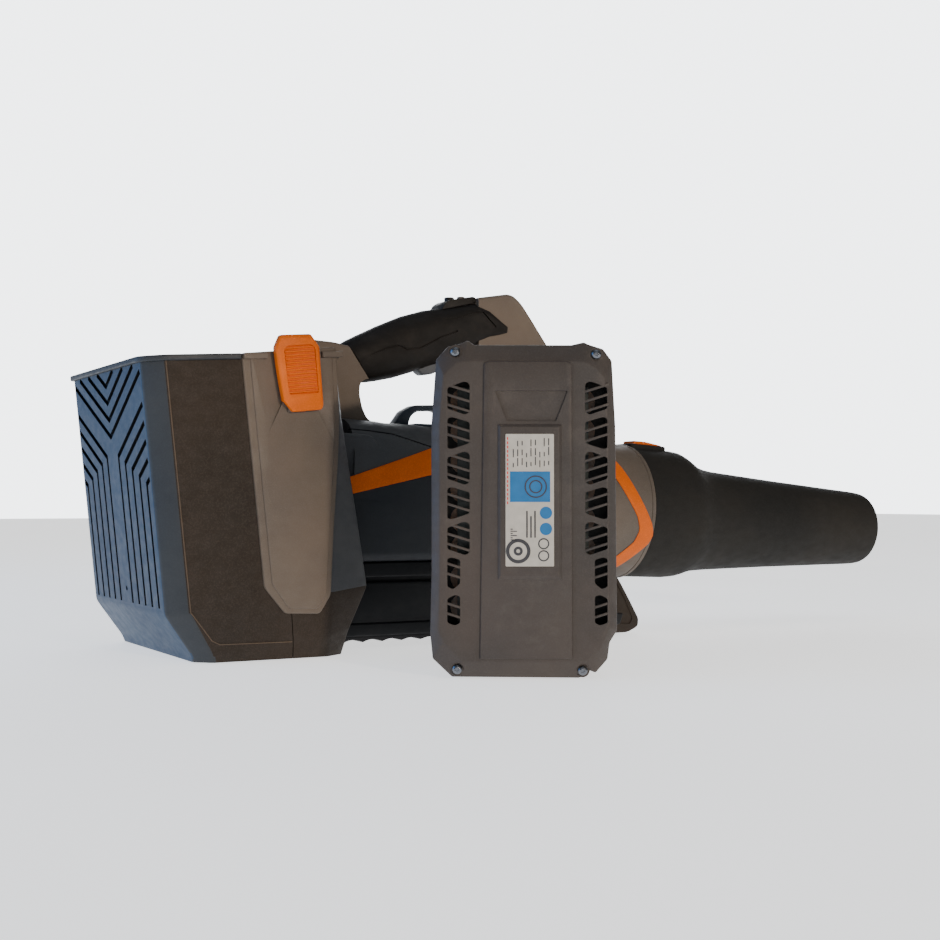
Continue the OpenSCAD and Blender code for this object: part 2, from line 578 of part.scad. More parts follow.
// Vent block: a window with slanted fins across it
module vent_window(x, z, w, h, slope) translate([x, 0, z]) for (k = [0 : 3])
    translate([0, -1, h * (k + 0.12) / 4]) multmatrix([[1, 0, 0, 0], [0, 1, 0, 0], [slope, 0, 1, 0], [0, 0, 0, 1]])
        cube([w, 30, h / 4 * 0.62]);
module pack_cover() color([0.3, 0.29, 0.29]) in_pack() difference() {
    pack_block(0, 0, cover_t);
    pack_block(4, 4, cover_t + 1);
    for (row = [0 : 6]) {
        narrow = row < 2 ? 5 : 0;
        vent_window(-pack_w / 2 + 13, 36 + row * 27, 17 - narrow * 1.4, 24, -0.2);
        vent_window(pack_w / 2 - 24 + narrow * 1.6, 36 + row * 27, 16 - narrow * 1.4, 24, 0.2);
    }
    translate([-21, -1, 82]) cube([45, 2.2, 110]);
    pack_screw_places() {
        translate([0, 0, 0]) cylinder(r = 5, h = 10);
        translate([0, 0, -20]) cylinder(r = 2, h = 30);
    }
}
module pack_gasket() color([0.2, 0.2, 0.2]) in_pack() difference() {
    pack_block(1, cover_t + 0.05, cover_t + 1.95);
    pack_block(3, cover_t - 1, cover_t + 3);
}
module pack_shell() color([0.26, 0.25, 0.25]) in_pack() difference() {
    pack_block(0, cover_t + 2, pack_d);
    difference() {
        pack_block(4, cover_t, pack_d - 4);
        translate([-43, pack_d / 2 - 17, pack_h - 23]) cube([86, 50, 30]);
    }
    translate([-32, pack_d - 80, -1]) cube([64, 52, 12]);
    // hand recess across the top
    translate([-40, pack_d / 2 - 14, pack_h - 20]) cube([80, 44, 30]);
}
module pack_screws() color(steel) in_pack() pack_screw_places() screw(4.6, 1.95, 12);
module pack_label() color([0.9, 0.88, 0.78]) in_pack() translate([-20, 0.3, 83]) cube([43, 0.8, 108]);
module cell_grid(r, len, from) for (i = [-2 : 2]) for (j = [0 : cell_rows - 1])
    translate([i * cell_pitch, from + len, 30 + j * cell_pitch]) rotate([90, 0, 0]) cylinder(r = r, h = len, $fn = 32);
cells_from = cover_t + 6;
module pack_cells() color([0.75, 0.4, 0.15]) in_pack()
    for (layer = [0, 1]) cell_grid(cell_r, cell_len, cells_from + layer * (cell_len + 4));
module cell_holders() color([0.15, 0.15, 0.16]) in_pack() difference() {
    for (at = [cells_from, cells_from + cell_len - 8, cells_from + 2 * cell_len - 4])
        pack_block(4.2, at, at + 6);
    cell_grid(cell_r + 0.05, pack_d + 20, -10);
    translate([-44, pack_d / 2 - 18, pack_h - 26]) cube([88, 52, 30]);
}
module pack_board() color([0.1, 0.35, 0.2]) in_pack() translate([-50, cover_t + 2.4, 30]) cube([100, 1.6, 190]);
module pack_socket() color([0.1, 0.1, 0.1]) in_pack() translate([-31.5, pack_d - 79.5, 0.8]) difference() {
    cube([63, 51, 9.6]);
    for (i = [0 : 3]) translate([18, 8 + i * 10, -1]) cube([27, 3.4, 9]);
}

housing_left();
housing_right();
housing_screws();
stripe_left();
stripe_right();
outlet_collar();
fan_duct();
guide_vanes();
motor_housing();
motor_stator();
motor_rotor();
motor_shaft();
impeller();
impeller_nut();
bearing_front();
bearing_rear();
tail_cone();
intake_screen();
base_skid();
ribbed_sole();
front_foot();
controller_board();
controller_heatsink();
power_cable();
grip_rubber();
control_panel();
power_button();
boost_button();
trigger();
trigger_pin();
trigger_spring();
trigger_switch();
strap_ring();
bay_rear_shell();
bay_front_shell();
bay_rim();
side_arm_left();
side_arm_right();
latch_left();
latch_right();
latch_pins();
latch_springs();
bay_rails();
bay_connector();
bay_screws();
nozzle();
nozzle_seal();
nozzle_lock_button();
lock_spring();
lock_screw();
pack_shell();
pack_cover();
pack_gasket();
pack_screws();
pack_label();
pack_cells();
cell_holders();
pack_board();
pack_socket();
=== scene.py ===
"""Looks of the battery leaf blower: detailed shells, grip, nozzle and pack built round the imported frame."""

import json
import math

import bmesh
import bpy
from mathutils import Matrix, Vector


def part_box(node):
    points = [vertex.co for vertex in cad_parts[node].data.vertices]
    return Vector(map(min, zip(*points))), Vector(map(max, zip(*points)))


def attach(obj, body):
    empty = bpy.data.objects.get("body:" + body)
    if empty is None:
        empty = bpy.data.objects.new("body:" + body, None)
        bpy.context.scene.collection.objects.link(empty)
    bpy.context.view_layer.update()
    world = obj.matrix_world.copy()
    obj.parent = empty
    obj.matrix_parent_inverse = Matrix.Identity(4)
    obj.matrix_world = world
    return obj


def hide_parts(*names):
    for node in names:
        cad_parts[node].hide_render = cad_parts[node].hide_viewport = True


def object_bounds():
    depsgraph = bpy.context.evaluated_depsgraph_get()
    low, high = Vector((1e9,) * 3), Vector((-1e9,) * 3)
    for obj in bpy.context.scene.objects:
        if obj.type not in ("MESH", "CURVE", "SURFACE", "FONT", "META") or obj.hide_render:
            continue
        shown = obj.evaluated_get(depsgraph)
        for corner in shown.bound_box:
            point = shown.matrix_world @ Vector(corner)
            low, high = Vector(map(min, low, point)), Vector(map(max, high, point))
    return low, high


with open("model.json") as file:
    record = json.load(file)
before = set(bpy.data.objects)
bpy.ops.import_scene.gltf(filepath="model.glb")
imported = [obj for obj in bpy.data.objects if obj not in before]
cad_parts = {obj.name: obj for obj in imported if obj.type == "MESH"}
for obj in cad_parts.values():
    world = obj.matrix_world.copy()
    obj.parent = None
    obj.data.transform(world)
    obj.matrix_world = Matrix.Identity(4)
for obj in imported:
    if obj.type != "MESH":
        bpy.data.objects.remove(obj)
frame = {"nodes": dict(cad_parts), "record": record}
cad_low, cad_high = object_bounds()
joints = {j["name"]: j for j in frame["record"]["behaviour"]["joints"]}

MM = 0.001
TURNED = 96          # sides of a turned form
NEAR_SIDE, FAR_SIDE = -1, 1

# ---------------------------------------------------------------- frames taken from the CAD

duct_axis = Vector(joints["fan_spin"]["axis"])
duct_tilt = math.asin(-duct_axis.z)
duct_start = Vector(joints["fan_spin"]["pos_m"]) / MM
DUCT = Matrix.Translation(duct_start) @ Matrix.Rotation(duct_tilt, 4, "Y")
bay_lean = math.asin(joints["latch_right_open"]["axis"][2])
BAY = Matrix.Rotation(-bay_lean, 4, "Y")
WORLD = Matrix.Identity(4)


def turn(degrees, axis):
    return Matrix.Rotation(math.radians(degrees), 4, axis)


def shift(x, y, z):
    return Matrix.Translation((x, y, z))


# these lay the X axis of a turned form down, up, or along the pack's depth
DOWNWARD, UPWARD, INWARD = turn(90, "Y"), turn(-90, "Y"), turn(90, "Z")


def pack_frame():
    """The pack's own frame: X across its vented face, Y into it, Z up, from the middle of its foot."""
    cover_depth = 22.0
    low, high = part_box("pack_cover")
    middle = (Vector(low) + Vector(high)) / 2 / MM
    rotation = turn(-28, "Z")
    origin = middle - rotation @ Vector((0, cover_depth / 2, 0))
    origin.z = 0
    return Matrix.Translation(origin) @ rotation


PACK = pack_frame()

# ---------------------------------------------------------------- mesh tools


def add(name, data):
    """A new object in the scene."""
    obj = bpy.data.objects.new(name, data)
    bpy.context.scene.collection.objects.link(obj)
    return obj


def make_object(name, verts, faces, place=WORLD):
    """A mesh from points in millimetres of a local frame."""
    mesh = bpy.data.meshes.new(name)
    mesh.from_pydata([(place @ Vector(v)) * MM for v in verts], [], faces)
    bm = bmesh.new()
    bm.from_mesh(mesh)
    bmesh.ops.recalc_face_normals(bm, faces=bm.faces)
    bm.to_mesh(mesh)
    bm.free()
    return add(name, mesh)


def remove(obj):
    bpy.data.objects.remove(obj, do_unlink=True)


def apply_all(obj):
    """Replaces the object's mesh by what its modifiers make of it."""
    graph = bpy.context.evaluated_depsgraph_get()
    mesh = bpy.data.meshes.new_from_object(obj.evaluated_get(graph))
    obj.modifiers.clear()
    obj.data = mesh
    return obj


def boolean(obj, others, operation="DIFFERENCE"):
    for other in others:
        step = obj.modifiers.new("cut", "BOOLEAN")
        step.operation, step.object, step.solver = operation, other, "MANIFOLD"
    apply_all(obj)
    for other in others:
        remove(other)
    return obj


def bevel(obj, width, segments=3, angle=40):
    """Rounds the edges for good, in millimetres."""
    step = obj.modifiers.new("round", "BEVEL")
    step.width, step.segments = width * MM, segments
    step.limit_method, step.angle_limit = "ANGLE", math.radians(angle)
    step.miter_outer = "MITER_ARC"
    return apply_all(obj)


def smooth(obj, angle=38):
    obj.data.shade_smooth()
    obj.data.set_sharp_from_angle(angle=math.radians(angle))
    return obj


def rect(a0, h0, a1, h1):
    """Outline of a rectangle."""
    return [(a0, h0), (a1, h0), (a1, h1), (a0, h1)]


def span(sign, near, far):
    """Two distances from the middle plane, lowest first, on the side that the sign gives."""
    return sorted((sign * near, sign * far))


def oval(square, sides):
    """Unit points of an oval that turns squarer as its power grows."""
    for k in range(sides):
        c, d = math.cos(2 * math.pi * k / sides), math.sin(2 * math.pi * k / sides)
        reach = (abs(c) ** square + abs(d) ** square) ** (-1 / square)
        yield c * reach, d * reach


def prism(name, outline, low, high, place=WORLD, along="y"):
    """A flat outline drawn out along one axis of its frame."""
    def point(p, depth):
        return {"x": (depth, p[0], p[1]), "y": (p[0], depth, p[1]), "z": (p[0], p[1], depth)}[along]
    n = len(outline)
    verts = [point(p, low) for p in outline] + [point(p, high) for p in outline]
    faces = [list(range(n)), list(range(n, 2 * n))]
    faces += [[i, (i + 1) % n, n + (i + 1) % n, n + i] for i in range(n)]
    return make_object(name, verts, faces, place)


def box(name, low, high, place=WORLD):
    return prism(name, rect(*low[:2], *high[:2]), low[2], high[2], place, "z")


def loft(name, rings, place=WORLD):
    """A skin through rings that all have the same number of points."""
    n = len(rings[0])
    verts = [p for ring in rings for p in ring]
    faces = []
    for k in range(len(rings) - 1):
        faces += [[k * n + i, k * n + (i + 1) % n, (k + 1) * n + (i + 1) % n,
                   (k + 1) * n + i] for i in range(n)]
    faces += [list(range(n)), list(range((len(rings) - 1) * n, len(rings) * n))]
    return make_object(name, verts, faces, place)


def turned(name, profile, place=WORLD, sides=TURNED):
    """A closed profile of (along, radius) points turned about the frame's X axis."""
    verts, rings, faces = [], [], []
    for s, r in profile:
        count = sides if r else 1
        rings.append([len(verts) + k % count for k in range(sides + 1)])
        for k in range(count):
            angle = 2 * math.pi * k / sides
            verts.append((s, r * math.cos(angle), r * math.sin(angle)))
        rings[-1][-1] = rings[-1][0]
    for here, there in zip(rings, rings[1:] + rings[:1]):
        for k in range(sides):
            corners = list(dict.fromkeys((here[k], here[k + 1], there[k + 1], there[k])))
            if len(corners) > 2:
                faces.append(corners)
    return make_object(name, verts, faces, place)


def rod(name, start, end, radius, place=WORLD, sides=32):
    """A cylinder along the frame's X axis."""
    return turned(name, [(start, 0), (start, radius), (end, radius), (end, 0)], place, sides)


def rounded(outline, radius, steps=4):
    """The outline with its corners turned into arcs."""
    out = []
    n = len(outline)
    for i in range(n):
        p, a, b = (Vector(outline[i]), Vector(outline[i - 1]), Vector(outline[(i + 1) % n]))
        reach = min(radius, (a - p).length * 0.45, (b - p).length * 0.45)
        start, end = p + (a - p).normalized() * reach, p + (b - p).normalized() * reach
        for k in range(steps + 1):
            t = k / steps
            out.append(tuple(start * (1 - t) ** 2 + p * 2 * t * (1 - t) + end * t * t))
    return out


def ribbon(points, width):
    """Outline of a band of constant width along an open run of points."""
    pts = [Vector(p) for p in points]
    left, right = [], []
    for i, p in enumerate(pts):
        before = (p - pts[i - 1]).normalized() if i else (pts[1] - p).normalized()
        after = (pts[i + 1] - p).normalized() if i < len(pts) - 1 else before
        middle = (before + after).normalized()
        normal = Vector((-middle.y, middle.x))
        reach = width / 2 / max(0.5, normal.dot(Vector((-before.y, before.x))))
        left.append(tuple(p + normal * reach))
        right.append(tuple(p - normal * reach))
    return left + right[::-1]


def joined(name, objects):
    """Several meshes as one object."""
    bm = bmesh.new()
    for obj in objects:
        bm.from_mesh(obj.data)
    mesh = bpy.data.meshes.new(name)
    bm.to_mesh(mesh)
    bm.free()
    for obj in objects:
        remove(obj)
    return add(name, mesh)


def ramp(table, at):
    """Straight-line interpolation in a short table of (place, value) rows."""
    for (x0, v0), (x1, v1) in zip(table, table[1:]):
        if at <= x1:
            return v0 + (v1 - v0) * max(0.0, at - x0) / (x1 - x0)
    return table[-1][1]


# ---------------------------------------------------------------- materials


RANGE_SOCKETS = "From Min", "From Max", "To Min", "To Max"


class Nodes:
    """A small builder for one node tree."""

    def __init__(self, name):
        self.material = bpy.data.materials.new(name)
        self.material.use_nodes = True
        self.tree = self.material.node_tree
        self.shader = self.tree.nodes["Principled BSDF"]
        self.place = self.tree.nodes.new("ShaderNodeTexCoord").outputs["Object"]

    def link(self, a, b):
        self.tree.links.new(a, b)

    def add(self, kind, vector, **values):
        """A node that reads the given vector, with its inputs set by name."""
        node = self.tree.nodes.new(kind)
        for name, value in values.items():
            node.inputs[name].default_value = value
        self.link(vector, node.inputs["Vector"])
        return node

    def noise(self, scale, detail=3.0, rough=0.55):
        return self.add("ShaderNodeTexNoise", self.place, Scale=scale, Detail=detail,
                        Roughness=rough).outputs["Fac"]

    def cells(self, scale):
        return self.add("ShaderNodeTexVoronoi", self.place, Scale=scale).outputs["Distance"]

    def stretched_noise(self, scale, stretch, detail=3.0):
        mapping = self.add("ShaderNodeMapping", self.place, Scale=stretch)
        return self.add("ShaderNodeTexNoise", mapping.outputs["Vector"], Scale=scale,
                        Detail=detail).outputs["Fac"]

    def spread(self, value, low, high, start=0.3, end=0.7):
        node = self.tree.nodes.new("ShaderNodeMapRange")
        for socket, v in zip(RANGE_SOCKETS, (start, end, low, high)):
            node.inputs[socket].default_value = v
        self.link(value, node.inputs["Value"])
        return node.outputs["Result"]

    def colours(self, value, first, second, start=0.3, end=0.7):
        node = self.tree.nodes.new("ShaderNodeValToRGB")
        node.color_ramp.elements[0].position, node.color_ramp.elements[1].position = start, end
        node.color_ramp.elements[0].color = (*first, 1)
        node.color_ramp.elements[1].color = (*second, 1)
        self.link(value, node.inputs["Fac"])
        return node.outputs["Color"]

    def blend(self, factor, tone, colour):
        node = self.tree.nodes.new("ShaderNodeMix")
        node.data_type = "RGBA"
        self.link(factor, node.inputs["Factor"])
        self.link(tone, node.inputs["A"])
        node.inputs["B"].default_value = (*colour, 1)
        return node.outputs["Result"]

    def bump(self, height, strength, distance, after=None):
        node = self.tree.nodes.new("ShaderNodeBump")
        node.inputs["Strength"].default_value = strength
        node.inputs["Distance"].default_value = distance
        self.link(height, node.inputs["Height"])
        if after:
            self.link(after, node.inputs["Normal"])
        return node.outputs["Normal"]


def plastic(name, colour, rough=(0.5, 0.66), grain=1400, grain_depth=0.00005, dust=0.02, specular=0.3,
            leather=None, tint=(1.15, 1.05, 0.95), speckle=0.35):
    """Moulded plastic: uneven tone, fine spark-eroded grain, faint rubbed streaks and settled dust."""
    n = Nodes(name)
    darker = tuple(c * 0.82 for c in colour)
    lighter = tuple(min(1, c * 1.16 * t) for c, t in zip(colour, tint))
    tone = n.colours(n.noise(9, 4), darker, lighter)
    speck = n.spread(n.noise(grain * 0.6, 2), 0, speckle, 0.45, 0.75)
    tone = n.blend(speck, tone, tuple(min(1, c * (1.2 + speckle)) for c in colour))
    dusty = n.spread(n.noise(23, 6, 0.7), 0, dust, 0.52, 0.78)
    tone = n.blend(dusty, tone, (0.34, 0.31, 0.27))
    n.link(tone, n.shader.inputs["Base Color"])
    rubbed = n.stretched_noise(90, (1, 1, 1.6), 5)
    n.link(n.spread(rubbed, rough[0], rough[1], 0.35, 0.68), n.shader.inputs["Roughness"])
    n.shader.inputs["Specular IOR Level"].default_value = specular
    normal = n.bump(n.noise(grain, 2), 0.55, grain_depth)
    if leather:
        scale, depth = leather
        normal = n.bump(n.cells(scale), 0.6, depth, normal)
        normal = n.bump(n.noise(scale * 0.45, 4, 0.6), 0.5, depth * 1.4, normal)
    normal = n.bump(n.noise(30, 2), 0.10, 0.0005, normal)
    n.link(normal, n.shader.inputs["Normal"])
    return n.material


def rubber(name, colour):
    """Soft-touch overmould with a dense pebble grain, worn patches and a low specular."""
    n = Nodes(name)
    tone = n.colours(n.noise(14, 5), tuple(c * 0.75 for c in colour), tuple(c * 1.5 for c in colour))
    worn = n.spread(n.noise(31, 6, 0.7), 0, 0.16, 0.5, 0.75)
    n.link(n.blend(worn, tone, (0.06, 0.045, 0.032)), n.shader.inputs["Base Color"])
    n.link(n.spread(n.noise(55, 4), 0.5, 0.74), n.shader.inputs["Roughness"])
    n.shader.inputs["Specular IOR Level"].default_value = 0.22
    normal = n.bump(n.cells(1150), 0.5, 0.0001)
    n.link(n.bump(n.noise(300, 3), 0.3, 0.0001, normal), n.shader.inputs["Normal"])
    return n.material


def metal(name, colour, rough=(0.18, 0.38), brushed=(1, 1, 9)):
    """Turned or brushed metal with fine directional marks."""
    n = Nodes(name)
    n.shader.inputs["Metallic"].default_value = 1.0
    marks = n.stretched_noise(420, brushed, 4)
    n.link(n.colours(marks, tuple(c * 0.8 for c in colour), colour), n.shader.inputs["Base Color"])
    n.link(n.spread(marks, rough[0], rough[1]), n.shader.inputs["Roughness"])
    n.link(n.bump(marks, 0.25, 0.00003), n.shader.inputs["Normal"])
    return n.material


def film(name, colour, rough=0.32):
    """Printed label film: slightly uneven ink over a faint ripple."""
    n = Nodes(name)
    tone = n.colours(n.noise(160, 4), tuple(c * 0.9 for c in colour),
                     tuple(min(1, c * 1.05) for c in colour))
    n.link(tone, n.shader.inputs["Base Color"])
    n.link(n.spread(n.noise(75, 3), rough, rough + 0.16), n.shader.inputs["Roughness"])
    n.link(n.bump(n.noise(120, 3), 0.15, 0.0002), n.shader.inputs["Normal"])
    return n.material


ORANGE = plastic("orange_moulding", (0.62, 0.108, 0.0),
                 rough=(0.46, 0.6), dust=0.01, specular=0.22, tint=(1.05, 1.1, 1.0))
WARM_GREY = plastic("warm_grey_moulding", (0.104, 0.086, 0.070), grain=1700, dust=0.05)
# Rear wall: the flanks' dark plastic, painted blue and lighter as the sky light falling on it
BAY_REAR = plastic("bay_rear_moulding", (0.015, 0.040, 0.078),
                   rough=(0.46, 0.56), grain=1600, grain_depth=0.00008, dust=0.015, specular=0.24)
BAY_SIDE = plastic("bay_side_moulding", (0.0235, 0.0175, 0.0128),
                   rough=(0.6, 0.74), grain=1500, speckle=0.7, leather=(620, 0.00022), specular=0.22)
# Flank border ridge: the flank plastic painted lighter brown as a highlight along the raised parting line
BORDER_HIGHLIGHT = plastic("flank_border_moulding", (0.075, 0.052, 0.034))
BLACK = plastic("black_moulding", (0.012, 0.011, 0.010),
                rough=(0.42, 0.58), grain=1500, dust=0.015, specular=0.22)
# Housing's lower and side faces, and the bay's front facets: grey painted darker and bluish as shade cast by
# the pack and the bay
BODY_GREY = plastic("body_moulding", (0.052, 0.057, 0.064), grain=1700, dust=0.03)
# Flank panel under the wedge: painted darker still, as shade
BODY_PANEL_SHADE = plastic("body_panel_moulding", (0.020, 0.024, 0.030), grain=1700, specular=0.25)
# Chamfers and rim: the same dark plastic painted bluish as sky light catching the faces turned towards it
BAY_CORNER = plastic("bay_corner_moulding", (0.026, 0.031, 0.037),
                     rough=(0.45, 0.6), grain=1500, specular=0.28)
TRIGGER_GREY = plastic("trigger_moulding", (0.075, 0.085, 0.10), rough=(0.42, 0.56), dust=0.01)
FOOT_BROWN = plastic("foot_moulding", (0.024, 0.019, 0.015), rough=(0.55, 0.7), specular=0.2)
NOZZLE_BLACK = plastic("nozzle_moulding", (0.0195, 0.0192, 0.0182),
                       rough=(0.66, 0.8), grain=1500, dust=0.012, specular=0.11)
# Strap ring: black plastic painted lighter and blue as the sky light on it
RING_SKYLIT = plastic("strap_ring_moulding", (0.024, 0.036, 0.054),
                    rough=(0.4, 0.55), dust=0.01, specular=0.35)
GROOVE_DARK = plastic("groove_shadow_moulding", (0.002, 0.003, 0.004),
                      rough=(0.6, 0.75), dust=0.005, specular=0.1)
# Base: black painted darker than the other black plastic, as shade low down behind the pack
BASE_SHADE = plastic("dark_base_moulding", (0.003, 0.004, 0.0055))
PACK_GREY = plastic("pack_moulding", (0.0455, 0.039, 0.0355),
                    rough=(0.46, 0.62), grain=1500, leather=(1250, 0.00007), dust=0.07)
PACK_BODY = plastic("pack_body_moulding", (0.046, 0.044, 0.043),
                    rough=(0.45, 0.62), leather=(900, 0.0001), dust=0.05)
GRIP = rubber("soft_grip", (0.0065, 0.0052, 0.0042))
SEAL = rubber("seal_rubber", (0.012, 0.012, 0.013))
STEEL = metal("bright_steel", (0.42, 0.43, 0.45))
DARK_STEEL = metal("plated_screw_steel", (0.17, 0.18, 0.20), (0.2, 0.4))
ALUMINIUM = metal("machined_aluminium", (0.52, 0.52, 0.54), (0.28, 0.5))
COPPER = metal("enamelled_copper", (0.62, 0.27, 0.1), (0.3, 0.5))
CELL_WRAP = plastic("cell_shrink_wrap", (0.13, 0.062, 0.022), rough=(0.3, 0.42), specular=0.5)
BOARD = plastic("lacquered_board", (0.006, 0.014, 0.010), rough=(0.3, 0.5), specular=0.5)
LABEL = film("label_paper", (0.47, 0.44, 0.385))
CYAN = film("label_cyan", (0.0005, 0.13, 0.34))
INK = film("label_ink", (0.03, 0.03, 0.035))
RED = film("label_red", (0.62, 0.05, 0.035))

SLOT_FINISH = {
    "orange_plastic": ORANGE, "warm_grey_plastic": WARM_GREY, "bay_rear_plastic": BAY_REAR,
    "bay_side_plastic": BAY_SIDE, "black_plastic": BLACK, "grip_rubber": GRIP, "pack_plastic": PACK_BODY,
    "steel": STEEL, "motor_metal": ALUMINIUM, "copper_winding": COPPER, "cell_wrap": CELL_WRAP,
    "circuit_board": BOARD, "label_film": LABEL, "seal_rubber": SEAL}


def dress(obj, material, body, slot, *replaced, angle=38):
    """Finishes a piece: shading, material, the body it rides on, and the CAD nodes it stands for."""
    smooth(obj, angle)
    obj.data.materials.clear()
    obj.data.materials.append(material)
    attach(obj, body)
    if replaced:
        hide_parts(*replaced)
    return obj


def finish_cad_nodes():
    """Every CAD node that stays in view takes the material of its slot."""
    for part in frame["record"]["subparts"]:
        node = frame["nodes"][part["node"]]
        finish = SLOT_FINISH[part["material_slot"]]
        for slot in node.material_slots:
            slot.material = finish


# ---------------------------------------------------------------- battery bay

HALF_W = 125.0       # half the bay's width
BAY_TOP = 252.0      # rim height at the bay's middle
RIM = shift(0, 0, BAY_TOP) @ turn(-3.5, "Y")
REAR_U, FRONT_U, SEAM_U = -84.5, 97.5, 20.0
CHAMFER_U, CHAMFER_Y = 17.0, 13.0
WALL = 4.0
GROOVE_W, GROOVE_DEEP, GROOVE_FOOT = 4.8, 2.6, 54
FLOOR_GAP = 0.3      # the machine stands this far above the floor
FLANK_EDGE = [(-20, 50), (48, 57), (107, 66), (159, 75), (194, 80), (254, 83), (300, 84)]
REAR_STEP = [(-20, 27), (13, 20), (49, 0), (300, 0)]
SIDE_STEP = [(-20, 15), (13, 4), (49, 0), (300, 0)]
FRONT_STEP = [(-20, 30), (14, 20), (50, 0), (300, 17)]


def bay_ring(w, inset=0.0):
    """Plan of the bay at one height of its own frame."""
    rear = REAR_U + ramp(REAR_STEP, w) + inset
    side = HALF_W - ramp(SIDE_STEP, w) - inset
    front = FRONT_U - ramp(FRONT_STEP, w) - inset
    flank = min(ramp(FLANK_EDGE, w), front - 1)
    shoulder = REAR_U + CHAMFER_U + 0.8 * ramp(REAR_STEP, w) + inset * 0.5
    near = [(front, -side + 14), (flank, -side), (shoulder, -side), (rear, -side + CHAMFER_Y)]
    return [(u, y, w) for u, y in near + [(u, -y) for u, y in reversed(near)]]


def bay_solid(name, inset, floor):
    heights = [-16, 13, 49, 107, 159, 194, 275]
    solid = loft(name, [bay_ring(w, inset) for w in heights], BAY)
    if inset == 0:
        solid = bevel(solid, 2.6, 3, 12)
    cutters = [box("below", (-400, -400, -400), (400, 400, floor))]
    if inset == 0:
        cutters.append(box("above", (-400, -400, 0), (400, 400, 200), RIM))
    return boolean(solid, cutters)


def groove_paths():
    """Nested chevrons at the top of the rear wall, and the lines that turn down from its sides."""
    slope = 0.46
    paths = []
    for k in range(4):
        reach = min(27 + 31 * k, HALF_W - CHAMFER_Y - 4)
        apex = 243 - 14.7 * k
        paths.append([(-reach, apex + slope * reach), (0, apex), (reach, apex + slope * reach)])
    for k in range(5):
        across = 19 + 19.7 * k
        outer = HALF_W - CHAMFER_Y - 5
        elbow = 181.5 - 6.2 * k
        for sign in (-1, 1):
            path = [(outer, elbow + slope * (outer - across)), (across, elbow), (across, GROOVE_FOOT)]
            paths.append([(sign * y, w) for y, w in path])
    return paths


def local_faces(obj, place):
    """Each face with its centre and normal in a local frame, in millimetres."""
    back = place.inverted()
    spin = back.to_3x3()
    return [(face, back @ (face.center / MM), spin @ face.normal) for face in obj.data.polygons]


def make_bay_shells():
    shell = boolean(bay_solid("bay_rear_wall", 0, FLOOR_GAP), [bay_solid("bay_cavity", WALL, 10)])
    front = add("bay_front_wall", shell.data.copy())
    boolean(shell, [box("ahead", (SEAM_U - 0.35, -300, -100), (300, 300, 400), BAY)])
    boolean(front, [box("behind", (-300, -300, -100), (SEAM_U + 0.35, 300, 400), BAY)])
    cutters = [prism("groove", ribbon(path, GROOVE_W), REAR_U - 4, REAR_U + GROOVE_DEEP, BAY, "x")
               for path in groove_paths()]
    cutters.append(rod("drain", REAR_U - 4, REAR_U + 1.9, 2.2, BAY @ shift(0, -3, 66), 24))
    boolean(shell, cutters)
    dress(shell, BAY_REAR, "blower", "bay_rear_plastic", "bay_rear_shell", angle=24)
    for finish in (BAY_SIDE, BAY_CORNER, GROOVE_DARK):
        shell.data.materials.append(finish)
    # sideways faces take the flank plastic; chamfered and forward faces the bluish corner colour, painted sky
    # light; groove floors and walls a painted shadow
    for face, centre, normal in local_faces(shell, BAY):
        on_rear = centre.z > GROOVE_FOOT - 2 and abs(centre.y) < HALF_W - CHAMFER_Y - 3
        if on_rear and REAR_U + 0.3 < centre.x < REAR_U + GROOVE_DEEP + 0.2:
            face.material_index = 3
        elif abs(normal.y) > 0.93 and centre.x > REAR_U + CHAMFER_U - 3:
            face.material_index = 1
        elif abs(normal.y) > 0.35 or centre.x > REAR_U + 60:
            face.material_index = 2
    ridges = []
    border = [(REAR_U + CHAMFER_U + 0.6, 257), (REAR_U + CHAMFER_U + 0.6, 50), (-50.5, 24), (-44, 20),
        (19, 13)]
    for sign in (-1, 1):
        for (u0, w0), (u1, w1) in zip(border, border[1:]):
            run = ribbon([(u0, w0), (u1, w1)], 0.8)
            rings = [[(u, sign * (HALF_W - ramp(SIDE_STEP, w) + out), w) for u, w in run]
                     for out in (-0.8, 0.45)]
            ridges.append(loft("ridge", rings, BAY))
    dress(joined("flank_border", ridges), BORDER_HIGHLIGHT, "blower", "bay_side_plastic")
    dress(front, BAY_SIDE, "blower", "bay_side_plastic", "bay_front_shell", angle=24)
    front.data.materials.append(BODY_GREY)
    # front-facing facets take the darker bluish grey: painted shade cast by the pack
    for face, centre, normal in local_faces(front, BAY):
        if normal.x > 0.15 and centre.z > 50:
            face.material_index = 1


def make_rim():
    def outline(grow):
        ring = bay_ring(250, -grow)
        return rounded([(u - 25.5, y) for u, y, _ in ring], 9 if grow > 0 else 5)
    flange = bevel(prism("bay_rim_flange", outline(4.6), 0.1, 4.8, RIM, "z"), 1.1)
    boolean(flange, [prism("hole", outline(-6.5), -5, 12, RIM, "z")])
    boolean(flange, [box("gap", (-4.5, sign * HALF_W - 9, 230), (84, sign * HALF_W + 12, 300), BAY)
                     for sign in (-1, 1)])
    dress(flange, BAY_CORNER, "blower", "bay_rear_plastic", "bay_rim")


ARM = [(-3, 257), (-3, 62), (13, 38), (44, 33.5), (55.5, 48), (64.5, 107), (73.5, 159), (78.5, 194),
       (82, 257)]
# facets that dip towards the latch: (u, w, depth) of their corners
FACETS = [[(2, 275, 0), (13.5, 190, 0), (28.5, 214, 3.4), (28.5, 275, 3.4)],
          [(58, 275, 3.0), (58, 206, 2.6), (73, 172, 0), (70, 275, 0)]]
ARM_RISE = 3.6
ARM_INNER = [(3.4, 253), (3.4, 64), (16, 42), (42.5, 38), (51.5, 50), (60.5, 107), (69, 159), (74, 194),
    (77.5, 253)]


